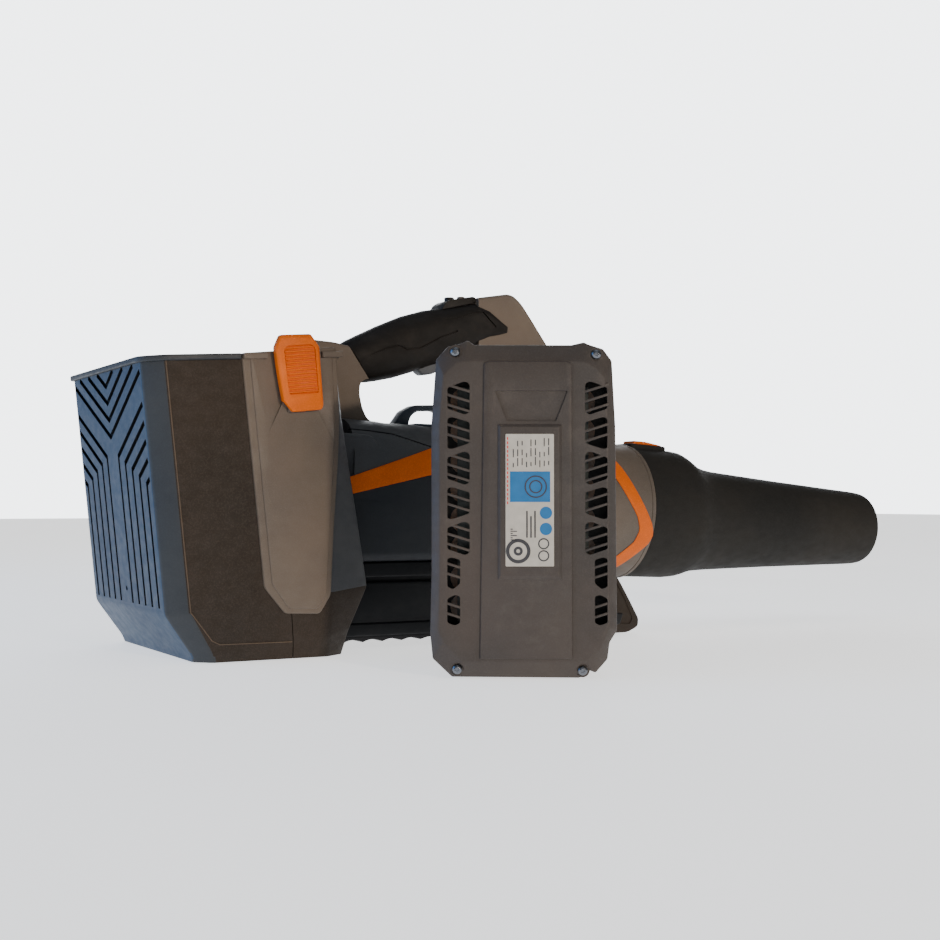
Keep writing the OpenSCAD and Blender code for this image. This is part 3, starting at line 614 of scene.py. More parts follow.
def make_arm(sign, label):
    surface = HALF_W + ARM_RISE
    arm, raised = [bevel(prism("plate", rounded(outline, 3), *span(sign, HALF_W - 1, top), BAY), 1.2, 3, 50)
                   for outline, top in ((ARM, HALF_W + 2.3), (ARM_INNER, surface))]
    boolean(arm, [raised], "UNION")
    cutters = []
    for facet in FACETS:
        inner = [(u, sign * (surface - depth), w) for u, w, depth in facet]
        outer = [(u, sign * (surface + 9), w) for u, w, _ in facet]
        cutters.append(loft("facet", [inner, outer], BAY))
    boolean(arm, cutters)
    lip_outline = rounded([(-29, -0.1), (-29, 5.0), (60, 5.0), (60, -0.1)], 1.2, 3)
    lip = bevel(prism("lip", lip_outline, *span(sign, HALF_W - 8, HALF_W + 6.2), RIM), 1.0, 2, 50)
    boolean(lip, [prism("notch", rect(18, 240, 67, 275), *span(sign, HALF_W - 20, HALF_W + 20), BAY)])
    lugs = []
    for u in (31.5, 50.5):
        post = [(1, 204.9), (5.5, 205.2), (7.7, 207.5), (7.7, 209.5), (5.5, 212), (1, 212.1)]
        lugs.append(prism("lug", [(sign * (HALF_W + y), w) for y, w in post], u, u + 4.0, BAY, "x"))
    whole = joined(f"side_arm_{label}_panel", [arm, lip] + lugs)
    dress(whole, WARM_GREY, "blower", "warm_grey_plastic", f"side_arm_{label}")


BARREL = 38.2, 47.8      # ends of the latch's hinge barrel along the bay


def make_latch(sign, label):
    """Ribbed thumb lever with a hook over the rim."""
    def across(name, profile, u0, u1):
        """A profile of (distance off the flank, height) points drawn out along the bay."""
        return prism(name, [(sign * (HALF_W + y), w) for y, w in profile], u0, u1, BAY, "x")

    def flat(name, outline, near, far):
        return prism(name, outline, *span(sign, HALF_W + near, HALF_W + far), BAY)
    face = [(29, 269.5), (56, 268.8), (62.8, 258), (61.6, 208), (59.5, 204.8), (33.5, 204.8), (26.3, 215),
        (24.2, 240), (23.4, 259.5)]
    plate = bevel(flat("plate", rounded(face, 1.6, 3), 3.6, 12.2), 2.6, 4, 50)
    taper = [(12.6, 222), (10.6, 200), (20, 200), (20, 275), (10.8, 275), (12.6, 262)]
    behind = [(2, 200), (2, 214), (8.0, 214.5), (8.0, 200)]
    boolean(plate, [across("taper", taper, 10, 80), across("behind", behind, 10, 80)])
    well = rounded([(31.5, 219), (30.5, 257), (33.5, 260), (55.5, 260), (58.5, 257), (58, 219)], 2, 3)
    boolean(plate, [bevel(flat("well", well, 9.9, 18), 0.7, 2, 50)])
    ribs = []
    for k in range(13):
        w = 221.0 + 3.1 * k
        profile = [(9.4, w - 1.35), (11.5, w - 0.55), (11.5, w + 0.35), (9.4, w + 0.9)]
        ribs.append(across("rib", profile, 31.6, 58.0))
    barrel = rod("barrel", *BARREL, 3.8, BAY @ shift(0, sign * (HALF_W + 4.2), 208.5))
    web = across("web", rect(1.6, 209, 8.6, 218), *BARREL)
    hook = [(9, 268.6), (-5.5, 268.6), (-7.4, 265.5), (-6, 262.8), (3.8, 262.8), (5, 256), (9, 256)]
    hook = bevel(across("hook", hook, 37, 57), 1.3)
    lever = joined(f"latch_{label}_lever", [plate, hook, barrel, web] + ribs)
    dress(lever, ORANGE, f"latch_{label}", "orange_plastic", f"latch_{label}")


# ---------------------------------------------------------------- housing, handle and base

TUBE_START, TUBE_END = -347.0, -22.4
TUBE_HALF_H = 68.9
JOINT_GAP = 0.22     # half the line between the two housing halves


def tube_shape(s):
    """Half width, half height and squareness of the housing at a place along the duct."""
    half_w = ramp([(-350, 67.5), (-120, 68.5), (-20, 69)], s)
    return half_w, TUBE_HALF_H, ramp([(-350, 3.4), (-250, 3.1), (-120, 2.4), (-20, 2.0)], s)


def tube_side(s, h):
    """How far out the housing's skin stands at a height over the duct's axis."""
    half_w, half_h, square = tube_shape(s)
    return half_w * max(0.0, 1 - abs(h / half_h) ** square) ** (1 / square)


def tube_ring(s, inset=0.0, sides=72):
    half_w, half_h, square = tube_shape(s)
    return [(s, (half_w - inset) * c, (half_h - inset) * d) for c, d in oval(square, sides)]


HANDLE = [(58, 200), (58, 283), (100, 280.5), (113, 277.5), (141, 292), (175, 307), (200, 317), (216, 322.5),
    (251, 331.5), (284, 337), (290, 335.5), (299, 328.5), (311, 312.5), (326, 292), (352, 255), (384, 205),
    (400, 170), (330, 150), (90, 150)]
HAND_HOLE = [(139, 205.5), (131, 210), (126, 220), (123, 234), (124, 243), (129, 247), (153, 250.5),
    (185, 261.5), (206, 269.5), (236, 280), (256, 282), (270, 268), (298, 228), (308, 212), (302, 205.5)]
# joint line between the grey upper body and the flank, and the top of the flank's panel; the flank is painted
# darker as shade, its panel darker still
PARTING = [(80, 199.5), (119, 197), (141, 194.5), (178, 183), (250, 176), (360, 172)]
GREY_NOSE = 346.0     # in front of this the housing is the collar's grey
PANEL_TOP = [(95.5, 140.5), (175, 157), (226, 168), (374, 160)]


def half_of(obj, name, sign):
    """One half of a whole form, with the joint line left between them."""
    half = add(name, obj.data.copy())
    y0, y1 = (-300, JOINT_GAP) if sign > 0 else (-JOINT_GAP, 300)
    return boolean(half, [box("other_side", (-300, y0, -100), (900, y1, 500))])


def make_housing():
    stations = [TUBE_START + (TUBE_END - TUBE_START) * k / 16 for k in range(17)]
    tube = loft("tube", [tube_ring(s) for s in stations], DUCT)
    bore = loft("bore", [tube_ring(s, 4.5) for s in (-318, -200, -100, 40)], DUCT)
    handle = bevel(prism("handle", rounded(HANDLE, 5, 4), -20.5, 20.5), 5.0, 4, 50)
    under_grip = [(104, 290), (104, 400), (250, 400), (250, 230), (145, 230), (141, 235.5)]
    boolean(handle, [prism("under_grip", under_grip, -60, 60),
                     prism("trigger_slot", TRIGGER_SLOT, -8.6, 8.6)])
    stations = [((108, 278), (131.5, 249), 20)] + GRIP_STATIONS[:-3]
    core = loft("core", [grip_ring(*s[:3], inset=3.5) for s in stations])
    boolean(core, [prism("trigger_slot", TRIGGER_SLOT, -8.6, 8.6)])
    shoulder = [(60, 196), (118, 193), (150, 150), (118, 78), (70, 78)]
    block = bevel(prism("shoulder", rounded(shoulder, 6), -64, 64), 7, 4, 50)
    flank = []
    for x in (99, 380):
        axis = (DUCT @ Vector((x - DUCT.translation.x, 0, 0))).z
        side = [(62, 77.8), (66, 84), (67.8, axis - 6), (60, axis + 8)]
        flank.append([(x, y, z) for y, z in side] + [(x, -y, z) for y, z in reversed(side)])
    lower = bevel(loft("lower_flank", flank), 2.0, 3, 25)
    whole = boolean(tube, [handle, core, block, lower], "UNION")
    hole = prism("hand_hole", rounded(HAND_HOLE, 4, 4), -60, 60)
    bay_front = BAY @ shift(FRONT_U + 0.3, 0, 50) @ turn(-3.9, "Y")
    behind = box("bay_side", (-400, -400, -400), (0, 400, 400), bay_front)
    ahead = box("collar_side", (TUBE_END, -300, -300), (400, 300, 300), DUCT)
    boolean(whole, [bore, hole, behind, ahead])
    lines = [PARTING, PANEL_TOP, [(95.5, 141), (103, 77)], [(GREY_NOSE, 70), (GREY_NOSE, 174)]]
    boolean(whole, [prism("seam", ribbon(line, 1.1), *span(sign, 48, 90))
                    for line in lines for sign in (-1, 1)])
    for sign, label in ((FAR_SIDE, "left"), (NEAR_SIDE, "right")):
        half = half_of(whole, f"housing_{label}_shell", sign)
        dress(half, WARM_GREY, "blower", "warm_grey_plastic", f"housing_{label}", angle=30)
        for finish in (BODY_GREY, BODY_PANEL_SHADE):
            half.data.materials.append(finish)
        # the collar's grey in front; the flank panel painted darker as shade; below the parting line and on
        # the sides, painted darker bluish grey as shade
        for face, centre, _ in local_faces(half, WORLD):
            if centre.x > GREY_NOSE:
                face.material_index = 0
            elif centre.z < ramp(PANEL_TOP, centre.x) and abs(centre.y) > 20 and centre.x > 97:
                face.material_index = 2
            elif centre.z < ramp(PARTING, centre.x) or abs(centre.y) > 22:
                face.material_index = 1
    remove(whole)


def skin_patch(name, sign, outer, inner, lift=1.0, depth=2.4, along=26, across=6):
    """A band on the housing's side between two runs of (x, z) points, raised a little off it."""
    to_duct = DUCT.inverted()

    def on_run(run, t):
        spans = [(Vector(b) - Vector(a)).length for a, b in zip(run, run[1:])]
        left = t * sum(spans)
        for a, b, length in zip(run, run[1:], spans):
            if left <= length + 1e-6:
                return Vector(a).lerp(Vector(b), left / length)
            left -= length
        return Vector(run[-1])
    rows = []
    for i in range(along + 1):
        a, b = on_run(outer, i / along), on_run(inner, i / along)
        for level in (lift, lift - depth):
            row = []
            for j in range(across + 1):
                p = a.lerp(b, j / across)
                local = to_duct @ Vector((p.x, 0, p.y))
                edge = 0.35 if level == lift and j in (0, across) else 0
                row.append((local.x, sign * (tube_side(local.x, local.z) + level - edge), local.z))
            rows.append(row)
    rings = [rows[2 * i] + rows[2 * i + 1][::-1] for i in range(along + 1)]
    return loft(name, rings, DUCT)


def make_inlays(sign, label):
    top, foot = [(93, 154.5), (175, 181), (226, 196)], [(96, 139.5), (175, 157), (226, 168)]
    wedge = skin_patch("wedge", sign, top, foot)
    front = [(372, 200), (391, 168), (403, 143), (421, 109), (424, 99), (421, 90), (383, 52)]
    back = [(360, 190), (377, 162), (389, 141), (403, 117), (407, 104), (403, 92), (372, 62)]
    chevron = skin_patch("chevron", sign, front, back, 1.2, 2.6, 40)
    inlay = joined(f"inlay_{label}", [wedge, chevron])
    dress(inlay, ORANGE, "blower", "orange_plastic", f"stripe_{label}", angle=50)


def make_collar():
    profile = [(-22, 64), (-22, 68.6), (-21.4, 69.2), (-18, 69.2), (-17.4, 68.4), (-17.4, 65.6),
               (-0.6, 65.6), (-0.2, 64)]
    collar = turned("collar_ring", profile, DUCT)
    dress(collar, WARM_GREY, "blower", "warm_grey_plastic", "outlet_collar", angle=30)


def make_strap_ring():
    outer = [(158, 199), (167, 208), (175, 219), (187, 225), (216, 226), (229, 220), (240, 206), (246, 196)]
    inner = [(180, 196), (181, 209), (184, 215.5), (191, 219.6), (210, 220.3), (219, 216), (224, 208),
             (226, 196)]
    loop = prism("loop", rounded(outer, 3), -6.5, 6.5)
    boolean(loop, [prism("eye", rounded(inner, 3), -30, 30)])
    loop = bevel(loop, 1.6)
    seat = [(178, 190), (176, 204.5), (181, 206.6), (228, 206), (233, 203.5), (232, 190)]
    dress(joined("strap_loop", [loop, bevel(prism("seat", seat, -24, 24), 1.5)]), RING_SKYLIT, "blower",
          "black_plastic", "strap_ring")


def make_base():
    upper = bevel(prism("upper", rounded([(95, 64), (98, 76.8), (378, 76.8), (376, 64)], 2), -63, 63), 2.0)
    neck = prism("neck", rect(98, 56, 374, 66), -54, 54)
    lower = [(96, 21), (98, 58), (112, 59.5), (380, 59.5), (384, 50), (384, 21)]
    body = bevel(prism("lower", rounded(lower, 3), -58, 58), 3.0)
    slots = [prism("slot", rounded(rect(197 + 17 * k, 27, 204 + 17 * k, 54), 3), -70, 70) for k in range(10)]
    boolean(body, [box("hollow", (110, -54, 15), (378, 54, 56))] + slots)
    rim = bevel(prism("rim", rounded([(93, 10.5), (93, 21.5), (392, 21.5), (388, 10.5)], 2), -60, 60), 1.6)
    boolean(rim, [box("inside", (106, -54, 0), (380, 54, 40))])
    boolean(upper, [loft("duct_space", [tube_ring(s, 0.4) for s in (-360, -240, -120, -60, 40)], DUCT)])
    dress(joined("base_housing", [upper, neck, body, rim]), BASE_SHADE, "blower", "black_plastic",
          "base_skid")


def make_sole():
    """Ribbed tread: a wave along the machine's length."""
    pitch, crest, start, length, steps = 19.5, 2.6, 92, 290, 120
    wave = []
    for k in range(steps + 1):
        at = length * k / steps
        wave.append((start + at, 4.6 + crest * abs(math.sin(math.pi * at / pitch)) ** 0.7))
    sole = prism("tread", wave + [(start + length, 11.0), (start, 11.0)], -57, 57)
    dress(bevel(sole, 0.8, 2, 60), SEAL, "blower", "black_plastic", "ribbed_sole")


def make_foot():
    outline = [(384, 1.5), (384, 62), (392, 61), (399, 51), (410, 33), (421, 14), (420, 6), (408, 0.6),
               (392, 0.4)]
    foot = bevel(prism("foot_shell", rounded(outline, 3), -45, 45), 3.2)
    panel = [(389, 10), (389, 53), (393, 52), (404, 34), (413, 15), (410, 9)]
    boolean(foot, [prism("panel", rounded(panel, 2), *span(sign, 44, 60)) for sign in (-1, 1)])
    dress(foot, FOOT_BROWN, "blower", "black_plastic", "front_foot")


# ---------------------------------------------------------------- grip and controls

GRIP_STATIONS = [     # top (x, z), bottom (x, z), half width, squareness
    ((111, 279.5), (133.5, 246.5), 17.5), ((112.5, 281.2), (134.5, 245.4), 20.2),
    ((118, 284.5), (139, 245.6), 21.6), ((130, 290.5), (148, 247), 22.2), ((150, 300), (165, 250.5), 22.4),
    ((175, 310.5), (186, 257), 22.4), ((197, 317), (205, 263.5), 22.4),
    ((216, 320.5), (224, 269.5), 22.5, 3), ((236, 323.5), (240, 278.8), 22.6, 3.6),
    ((250, 325.6), (251, 285.6), 22.7, 5), ((262, 319.5), (262, 292.3), 22.6, 7),
    ((273, 311), (272.4, 295), 22.5, 8), ((281.6, 304.6), (281, 297.6), 22.2, 8)]
TRIGGER_SLOT = [(185.6, 240), (185.6, 284), (214, 290), (240, 298), (254, 298), (254, 240)]


def grip_ring(top, bottom, half, square=2.5, inset=0.0, sides=64):
    middle = Vector(((top[0] + bottom[0]) / 2, (top[1] + bottom[1]) / 2))
    arm = Vector(top) - middle
    arm *= (arm.length - inset) / arm.length
    return [(middle.x + arm.x * c, (half - inset) * d, middle.y + arm.y * c) for c, d in oval(square, sides)]


def make_grip():
    grip = loft("soft_grip", [grip_ring(*s) for s in GRIP_STATIONS])
    lines = [[(134, 270), (150, 277), (163, 280), (172, 276.5), (186, 279), (209, 291), (226, 297)],
             [(204, 313), (212, 308), (226, 310), (243, 316), (254, 316.5), (268, 303)]]
    cutters = [loft("core", [grip_ring(*s[:3], inset=3.4) for s in GRIP_STATIONS[:-3]])]
    cutters += [prism("line", ribbon(line, 1.7), *span(sign, 20.6, 40))
                for line in lines for sign in (-1, 1)]
    cutters += [prism("trigger_slot", TRIGGER_SLOT, -9, 9),
                prism("leg", rect(249, 200, 330, 400), -20.4, 20.4)]
    boolean(grip, cutters)
    dress(grip, GRIP, "blower", "grip_rubber", "grip_rubber", angle=32)


def make_controls():
    pad = [(213, 318), (216.5, 324.5), (222, 328), (247.5, 332.8), (250, 331.6), (251, 327)]
    panel = bevel(prism("thumb_panel", rounded(pad, 1.5), -14, 14), 1.4, 3, 45)
    dress(panel, BLACK, "blower", "black_plastic", "control_panel")
    for name, node, x, radius, colour, slot in (
            ("power_key", "power_button", 228, 4.9, BLACK, "orange_plastic"),
            ("boost_key", "boost_button", 241, 3.9, WARM_GREY, "black_plastic")):
        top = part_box(node)[1][2] / MM
        profile = [(-0.35, 0), (0, radius * 0.55), (0.1, radius * 0.8), (0.7, radius), (6, radius), (6, 0)]
        key = turned(name, profile, shift(x, 0, top) @ DOWNWARD, 40)
        dress(key, colour, node, slot, node)
    lever = [(189.5, 265), (191, 258), (196, 254.4), (206, 255.6), (216, 260.2), (228, 265.5), (240, 272),
        (249, 281), (250, 289), (245, 292), (236, 288), (216, 278), (200, 273), (190.5, 270)]
    trigger = bevel(prism("trigger_lever", rounded(lever, 2), -7.4, 7.4), 2.2, 4, 40)
    dress(trigger, TRIGGER_GREY, "trigger", "black_plastic", "trigger")


# ---------------------------------------------------------------- nozzle

SKIRT = 16.8         # how far the sleeve reaches back over the collar
LOCK_FROM = -8.8
NOZZLE_SKIN = [(-SKIRT, 66.4), (-SKIRT + 0.6, 67.4), (-14, 67.6), (36, 66.8), (44, 66.0), (49, 64.6),
    (55, 62.2), (62, 58.9), (70, 56.2), (80, 54.3), (94, 52.7), (137, 49.9), (176, 47.4), (216, 45.2),
    (256, 42.9), (288, 41.2), (298, 40.4), (303, 39.6), (304.6, 38.9), (305, 38.0)]
# the tube leaves the sleeve a little low
TUBE_DROP = [(44, 0), (62, 2.4), (84, 4.0), (160, 3.2), (305, 1.6)]


def make_nozzle():
    to_duct = DUCT.inverted()
    inside = [(305, 38.0), (285, 38.0)] + [(s, r - 2.5) for s, r in reversed(NOZZLE_SKIN) if 44 <= s < 285]
    inside += [(38, 61), (-13.8, 61), (-13.8, 63.4), (-0.4, 63.4), (-0.2, 66.0), (-SKIRT, 66.0)]
    tube = turned("nozzle_tube", NOZZLE_SKIN[:-1] + inside, DUCT)
    for vert in tube.data.vertices:
        local = to_duct @ (vert.co / MM)
        local.z -= ramp(TUBE_DROP, local.x)
        vert.co = (DUCT @ local) * MM
    boss = [(-SKIRT + 0.4, -17), (-SKIRT + 0.4, 17), (28, 13), (33, 8), (33, -8), (28, -13)]
    boss = bevel(prism("boss", rounded(boss, 3), 58, 70.4, DUCT, "z"), 1.6)
    hollow = [(-20, 0), (-20, 66.0), (0, 66.0), (0, 62), (60, 62), (60, 0)]
    boolean(boss, [turned("boss_inside", hollow, DUCT, 64)])
    window = rounded([(LOCK_FROM - 0.8, -10.8), (LOCK_FROM - 0.8, 10.8), (31, 10.8), (31, -10.8)], 2.5)
    boolean(tube, [boss], "UNION")
    boolean(tube, [prism("window", window, 63.8, 90, DUCT, "z")])
    dress(tube, NOZZLE_BLACK, "nozzle", "black_plastic", "nozzle", angle=26)
    make_lock_key()


def make_lock_key():
    outline = [(LOCK_FROM, -10.2), (LOCK_FROM, 10.2), (24, 10.2), (30.2, 6.5), (30.2, -6.5), (24, -10.2)]
    key = bevel(prism("lock_key", rounded(outline, 2), 69.3, 73.9, DUCT, "z"), 1.5)
    cutters = [prism("slope", [(6, 80), (6, 73.8), (30.5, 70.4), (40, 80)], -20, 20, DUCT)]
    rods = (("screw_hole", 21, 62, 82, 3.8), ("spring_pocket", 11, 60, 71.6, 4.2))
    for name, s, start, end, radius in rods:
        cutters.append(rod(name, start, end, radius, DUCT @ shift(s, 0, 0) @ UPWARD))
    for k in range(4):
        s = 3.4 * k - 4
        cutters.append(prism("grip_line", rect(s, 73.2, s + 1.4, 75), -7.5, 7.5, DUCT))
    boolean(key, cutters)
    dress(key, ORANGE, "nozzle_lock", "orange_plastic", "nozzle_lock_button", angle=30)


# ---------------------------------------------------------------- battery pack

PACK_TOP = 251.0
PACK_OUTLINE = [(-54, 1.2), (-68.5, 15), (-70.4, 34), (-69.4, 80), (-69.6, 190), (-66, 240), (-57.5, 249.5),
    (-46, 252.6), (-42.5, 254.5), (-37, PACK_TOP), (36, PACK_TOP), (45.5, 253.2), (49, 251.5), (60, 248),
    (66.6, 239), (69.2, 190), (70.2, 36), (64.6, 27), (63, 14.5), (54, 4.2), (49.5, 6), (42, 0.4)]
FACE_OUTLINE = [(-46, 13), (-60, 28), (-64, 36), (-63.2, 80), (-63.4, 190), (-60.5, 228), (-50, 237),
    (-46, 238), (-44, 238.2), (-37, 238.4), (36, 238.4), (43, 238), (47, 237), (54, 233), (60.5, 225),
    (62.8, 190), (63.8, 40), (60, 30), (56, 22), (47, 15), (44, 13.5), (40, 13)]


VENT_TOP, VENT_PAIR, VENT_BAR, BAR_SLOPE = 218.4, 52.6, 7.45, 0.31
SCREW_PLACES = [(-51.5, 245.4), (54.5, 243.6), (-50, 7.4), (44, 6.4)]


def on_pack(a, depth, h):
    """Place of a form turned about the pack's depth."""
    return PACK @ shift(a, depth, h) @ INWARD


def shrunk(outline, width, height):
    """The pack's outline drawn in towards its middle."""
    return [(a * width, 125 + (h - 125) * height) for a, h in outline]


def at_depth(outline, depth):
    return [(a, depth, h) for a, h in outline]


def vent_windows():
    """Outlines of the cover's windows with their bars; they widen inwards and outwards in turn."""
    rising = [(0, 0), (0.66, 4.2), (0.84, 4.5), (1, 2.6), (1, -18.4), (0.8, -20.4), (0, -15.8)]
    falling = [(0, -23.2), (0.19, -22.0), (1, -26.0), (1, -41.6), (0.72, -43.3), (0.19, -46.1), (0, -45.5)]
    slim_falling = [(0, -23.2), (0.3, -22.0), (1, -23.8), (1, -41.6), (0.45, -46.0), (0, -44.0)]
    slim_rising = [(0, -0.4), (0.6, 2.6), (1, 1.4), (1, -18.6), (0.6, -20.4), (0, -18.4)]
    plan = [(rising, 0), (falling, 0), (rising, 1), (falling, 1), (rising, 2), (slim_falling, 2),
            (slim_rising, 3)]
    found = []
    for sign, outer in ((-1, 57.4), (1, 62.6)):
        for shape, pair in plan:
            width = 16.7 if shape in (rising, falling) else 9.6
            start = VENT_TOP - VENT_PAIR * pair
            outline = [(sign * (outer - width * f), start + h) for f, h in shape]
            heights = [h for _, h in outline]
            middle_h = sum(heights) / len(heights)
            bars = []
            for k in range(24):
                at_outer = VENT_TOP + 2.2 - VENT_BAR * k
                middle = at_outer - BAR_SLOPE * width / 2
                if min(heights) + 3.2 < middle < max(heights) - 3.2 and abs(middle - middle_h) < 9.4:
                    a0, a1 = sign * (outer + 1), sign * (outer - width - 1)
                    h0, h1 = at_outer + BAR_SLOPE, at_outer - BAR_SLOPE * (width + 1)
                    bars.append([(a0, h0 - 1.0), (a1, h1 - 1.0), (a1, h1 + 1.0), (a0, h0 + 1.0)])
            found.append((outline, bars))
    return found


def make_pack_cover():
    rings = [at_depth(PACK_OUTLINE, 22), at_depth(PACK_OUTLINE, 9.5), at_depth(FACE_OUTLINE, 2.9)]
    cover = bevel(loft("cover", rings, PACK), 0.9, 2, 14)
    plate = [(-33, 15.4), (-30, 236.4), (-26, 238), (31, 238), (36, 236), (36, 15.4)]
    boolean(cover, [bevel(prism("plate", plate, 1.0, 8, PACK), 1.0, 2)], "UNION")
    hollow = [at_depth(shrunk(outline, 0.93, 0.95), d)
              for outline, d in ((PACK_OUTLINE, 30), (PACK_OUTLINE, 9), (FACE_OUTLINE, 5.6))]
    dimple = [(-22, 216), (33, 216), (24, 193), (-13, 193)]
    windows = vent_windows()
    cutters = [loft("hollow", hollow, PACK), prism("dimple", rounded(dimple, 1.5), -5, 2.7, PACK)]
    cutters += [prism("window", rounded(shape, 1.6, 4), -5, 20, PACK) for shape, _ in windows]
    cutters += [rod("seat", -8, 6.5, 4.9, on_pack(a, 0, h)) for a, h in SCREW_PLACES]
    boolean(cover, cutters)
    bars = [bevel(prism("bar", bar, 3.1, 7.0, PACK), 0.35, 2) for _, group in windows for bar in group]
    bosses = [rod("boss", 8, 22, 5.4, on_pack(a, 0, h)) for a, h in SCREW_PLACES]
    low, high = rect(-19.6, 74.4, 28, 190.6), rect(-17.6, 77.5, 25.6, 188.6)
    raised = loft("label_seat", [at_depth(low, 2.2), at_depth(low, 0.4), at_depth(high, -1.3)], PACK)
    raised = bevel(raised, 0.4, 2, 14)
    whole = joined("pack_vent_cover", [cover, raised] + bars + bosses)
    dress(whole, PACK_GREY, "pack", "pack_plastic", "pack_cover", angle=26)


def make_pack_screws():
    profile = [(-2.6, 0), (-2.5, 1.4), (-2.0, 2.7), (-1.1, 3.5), (-0.3, 3.8), (0, 3.8), (0, 1.8), (14, 1.8),
               (14, 0)]
    heads = []
    for a, h in SCREW_PLACES:
        head = turned("head", profile, on_pack(a, 6.4, h), 36)
        spin = math.radians(20 + 31 * len(heads))
        star = []
        for k in range(12):
            reach, angle = 1.3 if k % 2 else 2.3, spin + k * math.pi / 6
            star.append((reach * math.cos(angle), reach * math.sin(angle)))
        boolean(head, [prism("recess", star, -8, -1.2, PACK @ shift(a, 6.4, h))])
        heads.append(head)
    dress(joined("pack_torx_screws", heads), DARK_STEEL, "pack", "steel", "pack_screws", angle=35)


LABEL_FRONT = -1.35


def make_pack_label():
    """Printed label with plain blocks, rules and rings; it carries no words or marks."""
    def sheet(name, outline, lift, material, *nodes):
        piece = prism(name, outline, LABEL_FRONT - lift, LABEL_FRONT - lift + 0.35, PACK)
        dress(bevel(piece, 0.08, 1, 50), material, "pack", "label_film", *nodes)

    def stroke(outline):
        return prism("stroke", outline, LABEL_FRONT - 0.44, LABEL_FRONT - 0.1, PACK)

    def hoop(a, h, outer, inner, depth=LABEL_FRONT - 0.44, thick=0.34, sides=40):
        profile = [(0, inner), (0, outer), (thick, outer), (thick, inner)]
        return turned("hoop", profile, on_pack(a, depth, h), sides)

    def printed(name, pieces, material):
        dress(joined(name, pieces), material, "pack", "label_film")
    sheet("label_sheet", rounded(rect(-13.9, 84.6, 22.2, 183.4), 0.8, 3), 0.30, LABEL, "pack_label")
    sheet("label_panel", rect(-10.6, 132.6, 19.4, 155.4), 0.42, CYAN)
    printed("label_dashes", [stroke(rect(-12.9, 131 + 3.2 * k, -11.9, 133.0 + 3.2 * k)) for k in range(16)],
            RED)
    ink = []
    for column in range(9):
        a = -8.5 + 3.3 * column
        for part in range(2 + (column * 5) % 3):
            start = 158.5 + part * 7.4 + (column % 3) * 0.8
            length = 3.2 + (column * 7 + part * 3) % 4
            if start + length < 182:
                ink.append(rect(a, start, a + 0.75, start + length))
    ink += [rect(-10.2, 112 - 1.6 * k, -8.6 + 3.2 * (k % 2), 112.7 - 1.6 * k) for k in range(6)]
    ink += [rect(1.5 + 3.0 * k, 106, 2.6 + 3.0 * k, 126 - 4 * (k % 2)) for k in range(3)]
    hoops = [hoop(-4.5, 96, 9.2, 6.6), hoop(-4.5, 96, 3.4, 1.4), hoop(14.5, 92.5, 4.2, 3.2),
             hoop(14.5, 101.5, 4.2, 3.2)]
    printed("label_strokes", [stroke(mark) for mark in ink] + hoops, INK)
    discs = [rod("disc", 0, 0.34, 4.6, on_pack(16.2, LABEL_FRONT - 0.44, h), 40) for h in (124.5, 112.5)]
    printed("label_discs", discs, CYAN)
    printed("label_loops", [hoop(8.6, 144, outer, outer - 1.0, -1.95, 0.3, 48) for outer in (8.4, 5.0)], INK)


def make_pack_body():
    depth = 190.0
    low_outline = [point for point in PACK_OUTLINE if point[1] < 252]
    outline = shrunk(low_outline, 0.985, 0.992)
    rings = [at_depth(outline, 23.5), at_depth(outline, depth - 9),
             at_depth(shrunk(outline, 0.9, 0.94), depth)]
    body = bevel(loft("body", rings, PACK), 1.6, 3, 20)
    inner = shrunk(outline, 0.93, 0.95)
    cutters = [loft("cavity", [at_depth(inner, 20), at_depth(inner, depth - 8)], PACK)]
    for sign in (-1, 1):
        for d in range(52, 141, 22):
            slot = rounded([(d, 48), (d + 9, 40), (d + 9, 186), (d, 194)], 3)
            cutters.append(prism("flute", slot, *span(sign, 66.2, 90), PACK, "x"))
        catch = rounded([(70, 203), (70, 231), (126, 231), (126, 203)], 4)
        cutters.append(prism("catch", catch, *span(sign, 67.2, 90), PACK, "x"))
    for h in range(40, 166, 25):
        flute = rounded([(-42, h), (-36, h + 9), (36, h + 9), (42, h)], 2)
        cutters.append(prism("rear_flute", flute, depth - 2.2, depth + 9, PACK))
    boolean(body, cutters)
    boolean(body, [prism("cup", rounded(rect(-43, 79, 43, 127), 10), 227, 248, PACK, "z")], "UNION")
    recess = prism("recess", rounded(rect(-40, 82, 40, 124), 8), 230.5, 270, PACK, "z")
    boolean(body, [bevel(recess, 2), box("socket_gap", (-32, depth - 80, -5), (32, depth - 28, 12), PACK)])
    dress(body, PACK_BODY, "pack", "pack_plastic", "pack_shell", angle=28)
    seam = prism("pack_seam_gasket", shrunk(low_outline, 0.975, 0.985), 21.6, 23.9, PACK)
    boolean(seam, [prism("seam_hole", inner, 10, 40, PACK)])
    dress(seam, SEAL, "pack", "seal_rubber", "pack_gasket")


# ---------------------------------------------------------------- stage, light and camera


CAMERA_AZIMUTH = -28.05
CAMERA_PITCH = 1.08
CAMERA_PLACE = (-0.4463, -1.3091, 0.1353)
FOCAL = 57.64
FLOOR_GLOW = 1.1
ROOM_GLOW = 0.16
BACKDROP_GLOW = 4.5
FLOOR_LEVEL = -0.4     # just under the machine, in millimetres


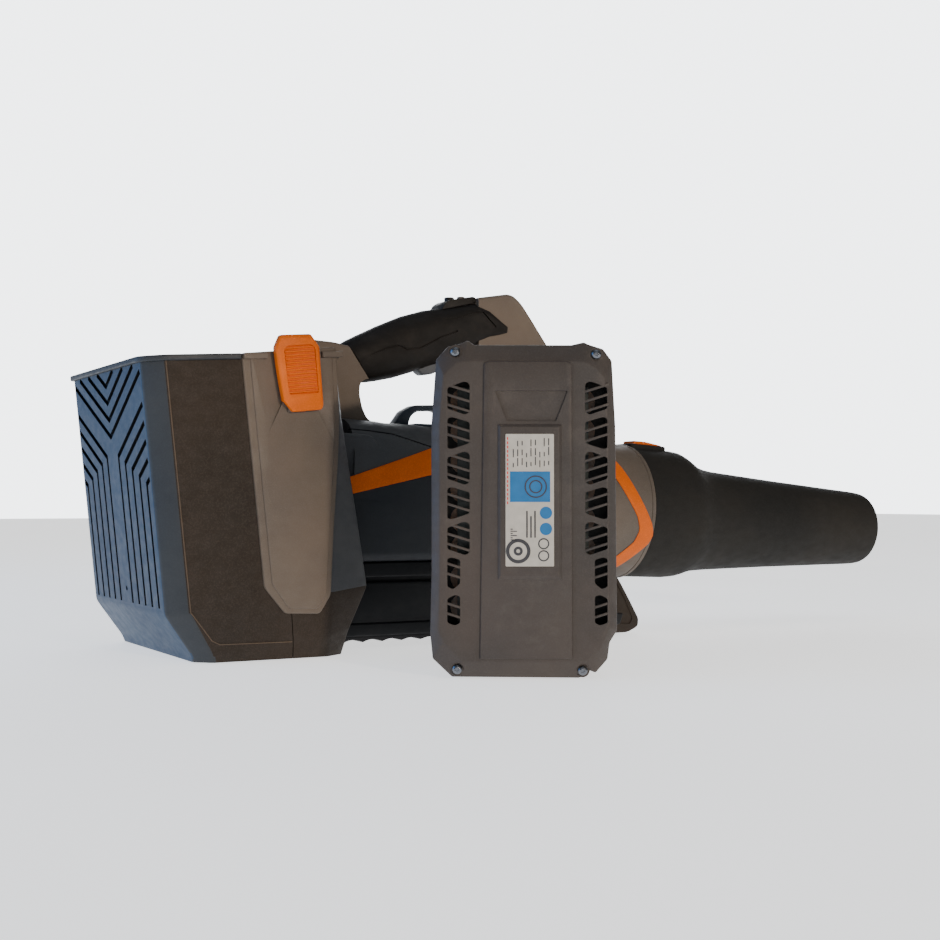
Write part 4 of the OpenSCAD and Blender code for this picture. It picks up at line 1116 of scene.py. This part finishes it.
def make_stage():
    n = Nodes("pale_floor")
    n.link(n.colours(n.noise(1.3, 3), (0.88, 0.88, 0.88), (0.92, 0.92, 0.92)), n.shader.inputs["Base Color"])
    n.link(n.spread(n.noise(3, 2), 0.75, 0.9), n.shader.inputs["Roughness"])
    n.shader.inputs["Emission Color"].default_value = (1, 1, 1, 1)
    n.shader.inputs["Emission Strength"].default_value = FLOOR_GLOW
    reach = 9000          # half the floor, in millimetres
    corners = [(x, y, FLOOR_LEVEL) for x, y in rect(-reach, -reach, reach, reach)]
    floor = make_object("studio_floor", corners, [[0, 1, 2, 3]])
    floor.data.materials.append(n.material)
    world = bpy.data.worlds.new("studio")
    world.use_nodes = True
    tree = world.node_tree
    direction = tree.nodes.new("ShaderNodeTexCoord").outputs["Generated"]
    across = tree.nodes.new("ShaderNodeVectorMath")
    across.operation = "DOT_PRODUCT"
    azimuth = math.radians(CAMERA_AZIMUTH)
    across.inputs[1].default_value = (-math.sin(azimuth), math.cos(azimuth), 0)
    tree.links.new(direction, across.inputs[0])
    glow = tree.nodes.new("ShaderNodeMapRange")
    glow.interpolation_type = "SMOOTHSTEP"
    for socket, v in zip(RANGE_SOCKETS, (0.80, 0.91, ROOM_GLOW, BACKDROP_GLOW)):
        glow.inputs[socket].default_value = v
    tree.links.new(across.outputs["Value"], glow.inputs["Value"])
    tree.links.new(glow.outputs["Result"], tree.nodes["Background"].inputs["Strength"])
    tree.nodes["Background"].inputs["Color"].default_value = (0.94, 0.97, 1.0, 1)
    bpy.context.scene.world = world


def area_light(name, azimuth, elevation, distance, size, power, colour):
    """A soft panel aimed at the machine, placed by the angles of the view."""
    a, e = math.radians(azimuth), math.radians(elevation)
    back = Vector((math.sin(a) * math.cos(e), -math.cos(a) * math.cos(e), math.sin(e)))
    data = bpy.data.lights.new(name, "AREA")
    data.shape, data.size, data.size_y = "RECTANGLE", size[0], size[1]
    data.energy, data.color = power, colour
    light = add(name, data)
    aim = (Vector(cad_low) + Vector(cad_high)) / 2
    light.location = aim + back * distance
    light.rotation_mode = "QUATERNION"
    light.rotation_quaternion = back.to_track_quat("Z", "Y")


def make_camera():
    data = bpy.data.cameras.new("camera")
    data.sensor_width, data.lens = 36.0, FOCAL
    camera = add("camera", data)
    camera.location = CAMERA_PLACE
    camera.rotation_euler = (math.radians(90 + CAMERA_PITCH), 0, math.radians(CAMERA_AZIMUTH))
    bpy.context.scene.camera = camera


make_camera()
make_stage()
area_light("sky_panel", -112, 13, 2.4, (2.2, 1.6), 29, (0.14, 0.44, 1.0))
area_light("low_sun", 0, 9.5, 3.4, (0.14, 0.14), 52, (1.0, 0.83, 0.66))
area_light("front_fill", -18, 14, 3.2, (2.0, 1.4), 3, (0.8, 0.9, 1.0))
area_light("top_panel", 10, 80, 2.6, (2.4, 2.4), 12, (0.9, 0.95, 1.0))

finish_cad_nodes()
make_bay_shells()
make_rim()
for side, side_name in ((FAR_SIDE, "left"), (NEAR_SIDE, "right")):
    make_arm(side, side_name)
    make_latch(side, side_name)
    make_inlays(side, side_name)
make_housing()
make_collar()
make_strap_ring()
make_base()
make_sole()
make_foot()
make_grip()
make_controls()
make_nozzle()
make_pack_cover()
make_pack_screws()
make_pack_label()
make_pack_body()
